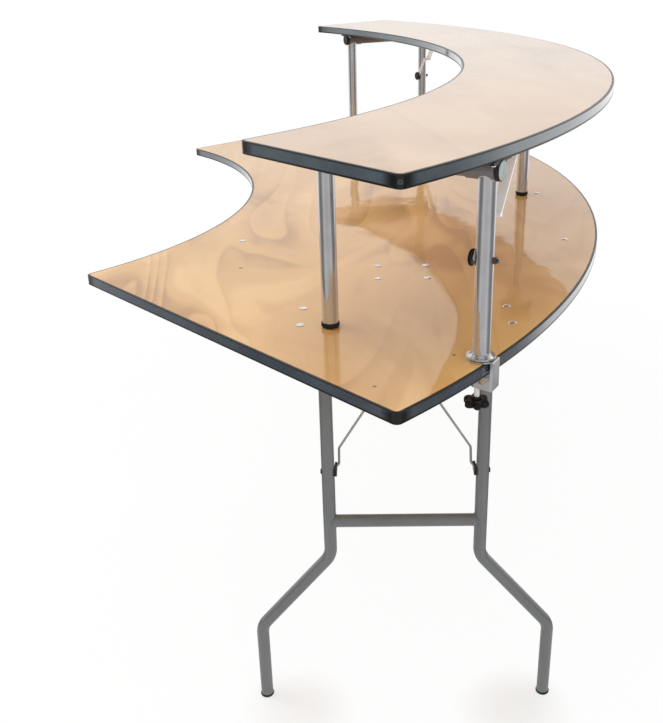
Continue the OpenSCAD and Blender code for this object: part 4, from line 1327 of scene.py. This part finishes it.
@dataclass
class PostParts:
    """What the end frames and the middle frame share: tubes, posts, tips and brace bolts."""

    post_d: float = 25.4
    tube_z: float = 1028.4
    tip_bottom: float = 762.95
    tip_h: float = 8.0
    tip_wall: float = 1.2
    sleeve_l: float = 42.0
    sleeve_t: float = 1.5
    bolt_z: float = 907.4
    bolt_seat: float = 15.7
    nut_seat: float = 12.75
    weld: float = 1.1

    def tube(self, station: Station, ends: tuple, sleeves: tuple) -> Skin:
        """A top tube with a welded sleeve round it at each post, whose edges are rounded.

        Args:
            station: The frame's inner post.
            ends: Where the tube starts and stops.
            sleeves: Where each sleeve starts.

        Returns:
            The skin.
        """
        r, base = self.post_d / 2, (0, 0, self.tube_z)
        start, stop = ends
        wall = [(0, start), (r - 0.3, start), (r, start + 0.3), (r, stop - 0.3), (r - 0.3, stop), (0, stop)]
        skin = Skin(station).spin(wall, base, ALONG, 56)
        low, high = r - 0.2, r + self.sleeve_t
        for start in sleeves:
            stop = start + self.sleeve_l
            sleeve = [
                (low, start), (high - 0.6, start), (high, start + 0.6),
                (high, stop - 0.6), (high - 0.6, stop), (low, stop),
            ]
            skin.spin(sleeve, base, ALONG, 56, 0.4)
        return skin

    def post(self, station: Station, foot_z: float) -> Skin:
        """A straight post with its bead of weld under the sleeve.

        The bead lies on the post, at the depth sqrt(R^2 - (r sin t)^2) below the tube's axis.

        Args:
            station: The post's axis.
            foot_z: Height of its foot.

        Returns:
            The skin.
        """
        r, top = self.post_d / 2, self.tube_z - 6.0
        wall = [(0, foot_z), (r - 0.4, foot_z), (r, foot_z + 0.4), (r, top), (0, top)]
        t = turns(96)[:, None]
        drop = np.sqrt((r + self.sleeve_t) ** 2 - (r * np.sin(t)) ** 2)
        line = np.concatenate([r * np.cos(t), r * np.sin(t), self.tube_z - drop], 1)
        out = np.concatenate([np.cos(t), np.sin(t), 0 * t], 1)
        skin = Skin(station).spin(wall, (0, 0, 0), UP, 64)
        return skin.sheet(bead(line, out, self.weld * (1 + 0.1 * np.sin(24 * t))), along=True)

    def tip(self, station: Station) -> Skin:
        """The rubber cup under a post.

        Args:
            station: The post's axis.

        Returns:
            The skin.
        """
        r = self.post_d / 2
        profile = cup(r + self.tip_wall, r, self.tip_h, 1.5)
        return Skin(station).spin(profile, (0, 0, self.tip_bottom), UP, 56, 1.0, 4)

    def pivot_bolt(self, station: Station) -> Skin:
        """The brace's bolt through the post: a round head inside, a six-sided nut and its end outside.

        Args:
            station: The post's axis.

        Returns:
            The skin.
        """
        base, seat, far = (0.0, 0.0, self.bolt_z), -self.bolt_seat, self.nut_seat + 8.0
        shank = [(0, seat - 1), (3.0, seat - 1), (3.0, far - 0.6), (2.5, far), (0, far)]
        nut = [(0, 0), (4.7, 0), (5.0, 0.5), (5.0, 4.5), (4.7, 5.0), (0, 5.0)]
        head = [(0, seat), (5.0, seat), (4.9, seat - 1.2), (4.0, seat - 2.0), (0, seat - 2.0)]
        skin = Skin(station).spin(shank, base, ALONG, 28)
        skin.spin(nut, (self.nut_seat, 0.0, self.bolt_z), ALONG, 6, 0.3, 2)
        return skin.spin(head, base, ALONG, 36, 0.4)


@dataclass
class EndFrame(PostParts):
    """An end frame: two posts under a top tube, with the outer post's flange, brace bolt and cap."""

    half: Half = Half.NEAR
    span: float = 247.0
    tube_stop: float = 20.2
    sleeve_near: float = 13.4
    plug_t: float = 2.0
    plug_lip: float = 0.8
    flange_bottom: float = 765.75
    flange_t: float = 2.5
    flange_r: float = 21.0
    screw_ring: float = 16.8
    screw_turns: tuple = (-15.0, -135.0, -255.0)
    head_d: float = 7.6
    head_h: float = 2.6
    cap_d: float = 24.0
    cap_h: float = 3.0
    cap_lap: float = 1.6

    def plug(self, station: Station, base: float, axis: Array) -> Skin:
        """A tube's end plug, with a low rim round a sunk middle.

        Args:
            station: The frame's inner post.
            base: Where the tube ends.
            axis: Which way the plug faces.

        Returns:
            The skin.
        """
        r, t = self.post_d / 2 + self.plug_lip, self.plug_t
        disc = [(0, 0), (r, 0), (r, 0.9), (r - 1.2, t), (0.6 * r, t - 0.3), (0, t - 0.3)]
        return Skin(station).spin(disc, (base, 0, self.tube_z), axis, 48, 0.5)

    def flange(self, station: Station) -> Skin:
        """The round foot plate with an eased rim, and a bead of weld round the post.

        Args:
            station: The post's axis.

        Returns:
            The skin.
        """
        low, high = self.flange_bottom, self.flange_bottom + self.flange_t
        rim = [(0, low), (self.flange_r, low), (self.flange_r, high), (0, high)]
        r = self.post_d / 2
        weld = [
            (r - 0.3, high - 0.1), (r + 2.0, high - 0.1), (r + 0.9, high + 0.8),
            (r, high + 2.0), (r - 0.3, high + 2.0),
        ]
        skin = Skin(station).spin(rim, (0, 0, 0), UP, 96, 0.7, 4)
        return skin.sheet(turned(eased(weld, 0.5, 3), (0, 0, 0), UP, 72), along=True)

    def screws(self, station: Station) -> Skin:
        """The flange's screws: round heads with a sunk middle.

        Args:
            station: The post's axis.

        Returns:
            The skin.
        """
        skin = Skin(station)
        r, h = self.head_d / 2, self.head_h
        head = eased([(0, -0.1), (r, -0.1), (r, 0.45 * h), (0.72 * r, h), (0.5 * r, h)], 0.5, 4)
        profile = np.concatenate([head, [(0.46 * r, 0.35 * h), (0.0, 0.3 * h)]])
        for turn in np.radians(self.screw_turns):
            x, y = self.screw_ring * math.cos(turn), self.screw_ring * math.sin(turn)
            skin.spin(profile, (x, y, self.flange_bottom + self.flange_t), UP, 36)
        return skin

    def cap(self, station: Station) -> Skin:
        """The round black cap over the bolt's head: a shallow dome with a full rim.

        Args:
            station: The post's axis.

        Returns:
            The skin.
        """
        base = -self.bolt_seat - 2.0
        r, back, front = self.cap_d / 2, base + self.cap_lap, base - self.cap_h
        dome = [
            (5.1, back), (r - 0.6, back), (r, back - 0.6), (r, front + 1.4),
            (r - 1.4, front + 0.2), (0.55 * r, front), (0, front),
        ]
        return Skin(station).spin(dome, (0, 0, self.bolt_z), ALONG, 56, 0.9, 4)

    def build(self) -> None:
        """Builds the frame's pieces."""
        name, body = self.half.value, f"{self.half.value}_frame"
        outer = outer_post_station(self.half)
        inner = outer.shifted(-self.span)
        stop, end = self.tube_stop, self.span + self.tube_stop
        sleeves = (-self.sleeve_near, self.span + self.sleeve_near - self.sleeve_l)
        foot_z = self.flange_bottom + self.flange_t
        tube = self.tube(inner, (-stop, end), sleeves).mesh(f"{name}_frame_tube")
        fit(tube, body, TUBE_PAINT, f"{name}_top_tube")
        black = self.plug(inner, -stop, -ALONG).mesh(f"{name}_inner_plug")
        fit(black, body, BLACK_KNOB, slot=Slot.GREY_PLASTIC)
        for skin, piece, finish, node in (
            # The outer plug's grey finish is a painted reflection on its face.
            (self.plug(inner, end, ALONG), "outer_plug", GREY_PAD_AND_PAINTED_PLUG_REFLECTION, "end_plugs"),
            (self.post(inner, self.tip_bottom + 3.0), "inner_tube", POST_METAL, "inner_post"),
            (self.post(outer, foot_z), "outer_tube", POST_METAL, "outer_post"),
            (self.tip(inner), "rubber_tip", RUBBER, "foot_tip"),
            (self.flange(outer), "round_flange", POST_METAL, "foot_flange"),
            (self.screws(outer), "flange_screw_set", PAINTED_REFLECTION_ZINC, "flange_screws"),
            (self.pivot_bolt(outer), "brace_bolt", DARK_STEEL, "pivot_bolt"),
            (self.cap(outer), "round_cap", BLACK_KNOB, "pivot_cap"),
        ):
            fit(skin.mesh(f"{name}_{piece}"), body, finish, f"{name}_{node}")


@dataclass
class MiddleFrame(PostParts):
    """The middle post on its own short tube."""

    tube_half: float = 34.0

    def build(self) -> None:
        """Builds the frame's pieces."""
        station = middle_post_station()
        ends = (-self.tube_half, self.tube_half)
        for skin, piece, finish, node in (
            (self.tube(station, ends, (-self.sleeve_l / 2,)), "mid_frame_tube", TUBE_PAINT, "mid_top_tube"),
            (self.post(station, self.tip_bottom + 3.0), "mid_post_tube", POST_METAL, "mid_post"),
            (self.tip(station), "mid_rubber_tip", RUBBER, "mid_foot_tip"),
            (self.pivot_bolt(station), "mid_brace_bolt", DARK_STEEL, "mid_pivot_bolt"),
        ):
            fit(skin.mesh(piece), "mid_frame", finish, node)


@dataclass
class RiserBraces:
    """The braces of the three frames: a side link beside each post and an upper strip with rolled eyes."""

    frames: tuple = ("near", "far", "mid")

    def build(self) -> None:
        """Builds the braces' pieces."""
        for name in self.frames:
            body = f"{name}_side_links"
            fit_copy(f"{name}_side_links", f"{name}_brace_side_link", body, PAINTED_REFLECTION_ZINC, 0.3)
            fit_copy(f"{name}_top_link", f"{name}_brace_strip", f"{name}_strip", PAINTED_REFLECTION_ZINC, 0.4)


@dataclass
class EdgeClamp:
    """A clamp on the table's edge under an outer post: cast body, pad, threaded screw and star knob."""

    half: Half
    screw_x: float = -4.5
    screw_d: float = 8.0
    pitch: float = 1.25
    thread: float = 0.55
    screw_bottom: float = 695.5
    screw_top: float = 741.2
    pad_bottom: float = 738.7
    pad_h: float = 5.0
    pad_d: float = 20.0
    knob_top: float = 703.0
    knob_h: float = 15.0
    knob_r: float = 19.5
    waist_r: float = 12.8
    lobes: int = 6
    hub_r: float = 7.8
    hub_h: float = 3.0

    def pad(self, station: Station) -> Skin:
        """The swivel pad on the screw's end: a cup that widens to a full rim.

        Args:
            station: The post's axis.

        Returns:
            The skin.
        """
        r, base, top = self.pad_d / 2, self.pad_bottom, self.pad_bottom + self.pad_h
        profile = [(0, base), (0.55 * r, base), (r - 0.3, base + 2.6), (r, base + 3.2), (r, top), (0, top)]
        return Skin(station).spin(profile, (self.screw_x, 0, 0), UP, 48, 0.6, 4)

    def screw(self, station: Station) -> Skin:
        """The threaded rod: its radius falls from the crest by a triangle wave of height / pitch - turn.

        Args:
            station: The post's axis.

        Returns:
            The skin.
        """
        z = np.arange(self.screw_bottom, self.screw_top + 0.01, self.pitch / 8)[:, None]
        t = turns(32)[None]
        wave = np.abs(((z / self.pitch - t / (2 * math.pi)) % 1.0) * 2 - 1)
        fade = np.clip((self.screw_top - z) / 1.2, 0, 1)
        radius = self.screw_d / 2 - self.thread * wave - 0.6 * (1 - fade)
        height = np.broadcast_to(z, radius.shape)
        rings = np.stack([self.screw_x + radius * np.cos(t), radius * np.sin(t), height], -1)
        return Skin(station).solid(rings)

    def knob(self, station: Station) -> Skin:
        """The star knob: radius = waist + (reach - waist) (half + half cos(lobes t))^0.7, ring by ring.

        Args:
            station: The post's axis.

        Returns:
            The skin.
        """
        t = turns(120)
        lobe = (0.5 + 0.5 * np.cos(self.lobes * t)) ** 0.7
        outline = self.waist_r + (self.knob_r - self.waist_r) * lobe
        low, top = self.knob_top - self.knob_h, self.knob_top - self.hub_h
        rim = [(0.02, low), (0.86, low), (1.0, low + 2.6), (1.0, top - 2.6), (0.84, top), (0.60, top)]
        rows = eased(rim, 2.4, 5)
        scale = rows[:, 0][:, None]
        flat = np.stack([self.screw_x + scale * outline * np.cos(t), scale * outline * np.sin(t)], -1)
        r = self.hub_r
        hub = [(0, top - 2), (r + 0.8, top - 2), (r, self.knob_top), (0, self.knob_top)]
        return Skin(station).solid(lifted(flat, rows)).spin(hub, (self.screw_x, 0, 0), UP, 40, 0.8, 4)

    def build(self) -> None:
        """Builds the clamp's pieces."""
        name = self.half.value
        station = outer_post_station(self.half)
        fit_copy(f"{name}_clamp_body", f"{name}_cast_clamp", f"{name}_clamp", CAST_METAL, 0.9)
        pad = self.pad(station).mesh(f"{name}_swivel_pad")
        fit(pad, f"{name}_pad", GREY_PAD_AND_PAINTED_PLUG_REFLECTION, f"{name}_clamp_pad")
        screw = self.screw(station).mesh(f"{name}_thread", 40.0)
        fit(screw, f"{name}_screw", PAINTED_REFLECTION_ZINC, f"{name}_clamp_screw")
        knob = self.knob(station).mesh(f"{name}_star_knob", 40.0)
        fit(knob, f"{name}_screw", BLACK_KNOB, f"{name}_clamp_knob")


@dataclass
class Studio:
    """A plain pale floor, soft lamps, a white surround and the camera."""

    camera_at: tuple = (0.0210, -2.0910, 1.2978)
    pitch: float = 0.4083
    roll: float = -0.0104
    yaw: float = 0.0015
    lens: float = 46.21
    shift: tuple = (-0.0651, -0.0270)
    floor_half: float = 60.0
    floor_white: float = 0.90
    surround: float = 0.72
    sides: tuple = (
        (0.0, 1.0), (0.37, 1.0), (0.456, 0.45), (0.50, 0.28),
        (0.71, 0.10), (0.82, 0.20), (0.925, 0.62), (1.0, 0.50),
    )
    glow_reach: tuple = (0.8, 2.0, 0.93, 1.0)
    # Painted shadow beside the feet: how the glow thins round each spot, and the spot's place from each leg's
    # hinge.
    painted_shadow_reach: tuple = (0.02, 0.125, 0.42, 1.0)
    painted_shadow_spot: tuple = (200.0, -48.0, 0.0)
    lamps: tuple = (
        ("high_lamp", (-0.8, -1.2, 4.2), 3.2, 60.0),
        ("side_lamp", (-3.4, 0.6, 2.6), 2.4, 30.0),
        ("front_lamp", (1.8, -3.6, 1.6), 2.4, 30.0),
    )
    aim: tuple = (0.0, 0.0, 0.6)

    def floor(self) -> None:
        """Makes the floor, a hair under the feet."""
        steps = np.linspace(-self.floor_half, self.floor_half, 9)
        x, y = np.meshgrid(steps, steps)
        points = np.stack([x, y, 0 * x - 0.0005], -1).reshape(-1, 3)
        index = np.arange(81).reshape(9, 9)
        quads = np.stack([index[:-1, :-1], index[:-1, 1:], index[1:, 1:], index[1:, :-1]], -1)
        data = bpy.data.meshes.new("studio_floor")
        data.from_pydata(points.tolist(), [], quads.reshape(-1, 4).tolist())
        piece = bpy.data.objects.new("studio_floor", data)
        bpy.context.scene.collection.objects.link(piece)
        data.materials.append(self.floor_paint())

    def floor_paint(self) -> bpy.types.Material:
        """The floor's material: a diffuse white that keeps shadows, under a white glow for seen rays alone.

        Returns:
            The material.
        """
        material = bpy.data.materials.new("pale floor")
        material.use_nodes = True
        tree = material.node_tree
        tree.nodes.clear()
        position = new_node(tree, "NewGeometry").outputs["Position"]
        lit = new_node(tree, "BsdfDiffuse", {"Color": (self.floor_white,) * 3})
        glow = new_node(tree, "Emission", {"Color": WHITE, "Strength": self.mirror_light(tree, position)})
        share = new_node(
            tree, "Math", {0: self.seen_rays(tree), 1: self.glow_share(tree, position)}, operation="MULTIPLY"
        )
        mix = new_node(tree, "MixShader", {0: share.outputs[0], 1: lit.outputs[0], 2: glow.outputs[0]})
        new_node(tree, "OutputMaterial", {"Surface": mix.outputs[0]})
        return material

    def seen_rays(self, tree: Tree) -> Socket:
        """One for rays from the camera, from a mirror or through glass, and nothing for the rest.

        Args:
            tree: The tree to add to.

        Returns:
            The value.
        """
        path = new_node(tree, "LightPath").outputs
        total = path["Is Camera Ray"]
        for name in ("Is Glossy Ray", "Is Transmission Ray"):
            total = new_node(tree, "Math", {0: total, 1: path[name]}, operation="MAXIMUM").outputs[0]
        return total

    def eased_range(self, tree: Tree, value: Socket, reach: tuple) -> Socket:
        """A value eased from one range to another.

        Args:
            tree: The tree to add to.
            value: The value.
            reach: The first range and then the second, as four numbers.

        Returns:
            The new value.
        """
        feeds = dict(zip(("From Min", "From Max", "To Min", "To Max"), reach))
        node = new_node(tree, "MapRange", {"Value": value, **feeds}, interpolation_type="SMOOTHSTEP")
        return node.outputs["Result"]

    def glow_share(self, tree: Tree, position: Socket) -> Socket:
        """The glow's share of the floor: less near the table, and all of it far away.

        It is least in four fixed spots beside where the feet stand at rest, a painted shadow that adds to the
        feet's real cast shadow and stays when a leg folds.

        Args:
            tree: The tree to add to.
            position: The place on the floor.

        Returns:
            The share.
        """
        away = new_node(tree, "VectorMath", {0: position}, operation="LENGTH")
        total = self.eased_range(tree, away.outputs["Value"], self.glow_reach)
        # Painted shadow: the glow thins round four fixed spots beside the feet at rest, so the darker lit
        # floor shows there.
        x, y, z = self.painted_shadow_spot
        for half in Half:
            for side in (-1, 1):
                spot = tuple(leg_station(half).place((side * x, y, z)).tolist())
                away = new_node(tree, "VectorMath", {0: position, 1: spot}, operation="DISTANCE")
                shade = self.eased_range(tree, away.outputs["Value"], self.painted_shadow_reach)
                total = new_node(tree, "Math", {0: total, 1: shade}, operation="MULTIPLY").outputs[0]
        return total

    def mirror_light(self, tree: Tree, direction: Socket) -> Socket:
        """Brightness by direction round the table: bright ahead and behind, a dark screen on either side.

        The level part of the direction is brought to length one, and a half less half its y goes through the
        ramp of the sides. Mirrors alone see the screens; the camera sees white everywhere.

        Args:
            tree: The tree to add to.
            direction: A direction or a place round the table.

        Returns:
            The brightness.
        """
        level = new_node(tree, "VectorMath", {0: direction, 1: (1.0, 1.0, 0.0)}, operation="MULTIPLY")
        short = new_node(tree, "VectorMath", {0: level.outputs[0]}, operation="NORMALIZE")
        half_y = new_node(
            tree, "VectorMath", {0: short.outputs[0], 1: (0.0, -0.5, 0.0)}, operation="DOT_PRODUCT"
        )
        centred = new_node(tree, "Math", {0: half_y.outputs["Value"], 1: 0.5}, operation="ADD")
        stops = [(position, (value,) * 3) for position, value in self.sides]
        screens = colour_ramp(tree, centred.outputs[0], stops, "LINEAR")
        mirrored = new_node(tree, "LightPath").outputs["Is Glossy Ray"]
        return new_node(tree, "Mix", {0: mirrored, 2: 1.0, 3: screens}, data_type="FLOAT").outputs[0]

    def world(self) -> None:
        """The surround: white where it is seen, and a plain soft light for the rest."""
        world = bpy.data.worlds.new("studio")
        world.use_nodes = True
        tree = world.node_tree
        tree.nodes.clear()
        direction = new_node(tree, "TexCoord").outputs["Generated"]
        soft = new_node(tree, "Background", {"Color": WHITE, "Strength": self.surround})
        seen = new_node(tree, "Background", {"Color": WHITE, "Strength": self.mirror_light(tree, direction)})
        mix = new_node(tree, "MixShader", {0: self.seen_rays(tree), 1: soft.outputs[0], 2: seen.outputs[0]})
        new_node(tree, "OutputWorld", {"Surface": mix.outputs[0]})
        bpy.context.scene.world = world

    def hang(self, item: Piece, axes: Array) -> None:
        """Sets a lamp or a camera in place by the columns of its axes and its place."""
        item.matrix_world = Matrix(np.vstack([axes, [0, 0, 0, 1]]).tolist())
        bpy.context.scene.collection.objects.link(item)

    def lamp(self, name: str, at: tuple, size: float, power: float) -> None:
        """Hangs a square soft lamp that faces the middle of the table.

        Args:
            name: The lamp's name.
            at: Its place in metres.
            size: Its side in metres.
            power: Its power in watts.
        """
        data = bpy.data.lights.new(name, "AREA")
        data.shape = "SQUARE"
        data.size = size
        data.energy = power
        lamp = bpy.data.objects.new(name, data)
        lamp.visible_glossy = False
        back = unit(np.array(at) - np.array(self.aim))
        self.hang(lamp, np.stack([*across(back), back, np.array(at)], -1))

    def camera(self) -> None:
        """Sets up the camera from its place, pitch, roll, lens and shift."""
        c, s = math.cos(self.yaw), math.sin(self.yaw)
        swing = np.array([[c, -s, 0], [s, c, 0], [0, 0, 1]])
        forward = swing @ np.array([0, math.cos(self.pitch), -math.sin(self.pitch)])
        right = swing @ ALONG
        above = np.cross(right, forward)
        cr, sr = math.cos(self.roll), math.sin(self.roll)
        data = bpy.data.cameras.new("photo_camera")
        data.lens = self.lens
        data.sensor_width = 36.0
        data.shift_x, data.shift_y = self.shift
        data.clip_end = 400.0
        camera = bpy.data.objects.new("photo_camera", data)
        axes = [cr * right + sr * above, -sr * right + cr * above, -forward, np.array(self.camera_at)]
        self.hang(camera, np.stack(axes, -1))
        bpy.context.scene.camera = camera

    def build(self) -> None:
        """Sets up the studio."""
        self.floor()
        self.world()
        for lamp in self.lamps:
            self.lamp(*lamp)
        self.camera()
        bpy.context.scene.view_settings.view_transform = "Standard"


def main() -> None:
    """Builds the studio and every sub-assembly in order, and reports each one."""
    logging.basicConfig(level=logging.INFO, format="%(message)s")
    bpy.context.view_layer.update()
    jobs = [
        ("studio", Studio()), ("table top", TableTop()), ("bar shelf", BarShelf()),
        ("middle frame", MiddleFrame()), ("riser braces", RiserBraces()),
    ]
    for half in Half:
        name = half.value
        jobs += [
            (f"{name} leg", FoldingLeg(half)), (f"{name} leg brace", LegBrace(half)),
            (f"{name} end frame", EndFrame(half=half)), (f"{name} clamp", EdgeClamp(half)),
        ]
    for name, job in jobs:
        job.build()
        log.info("built the %s", name)


if __name__ == "__main__":
    main()
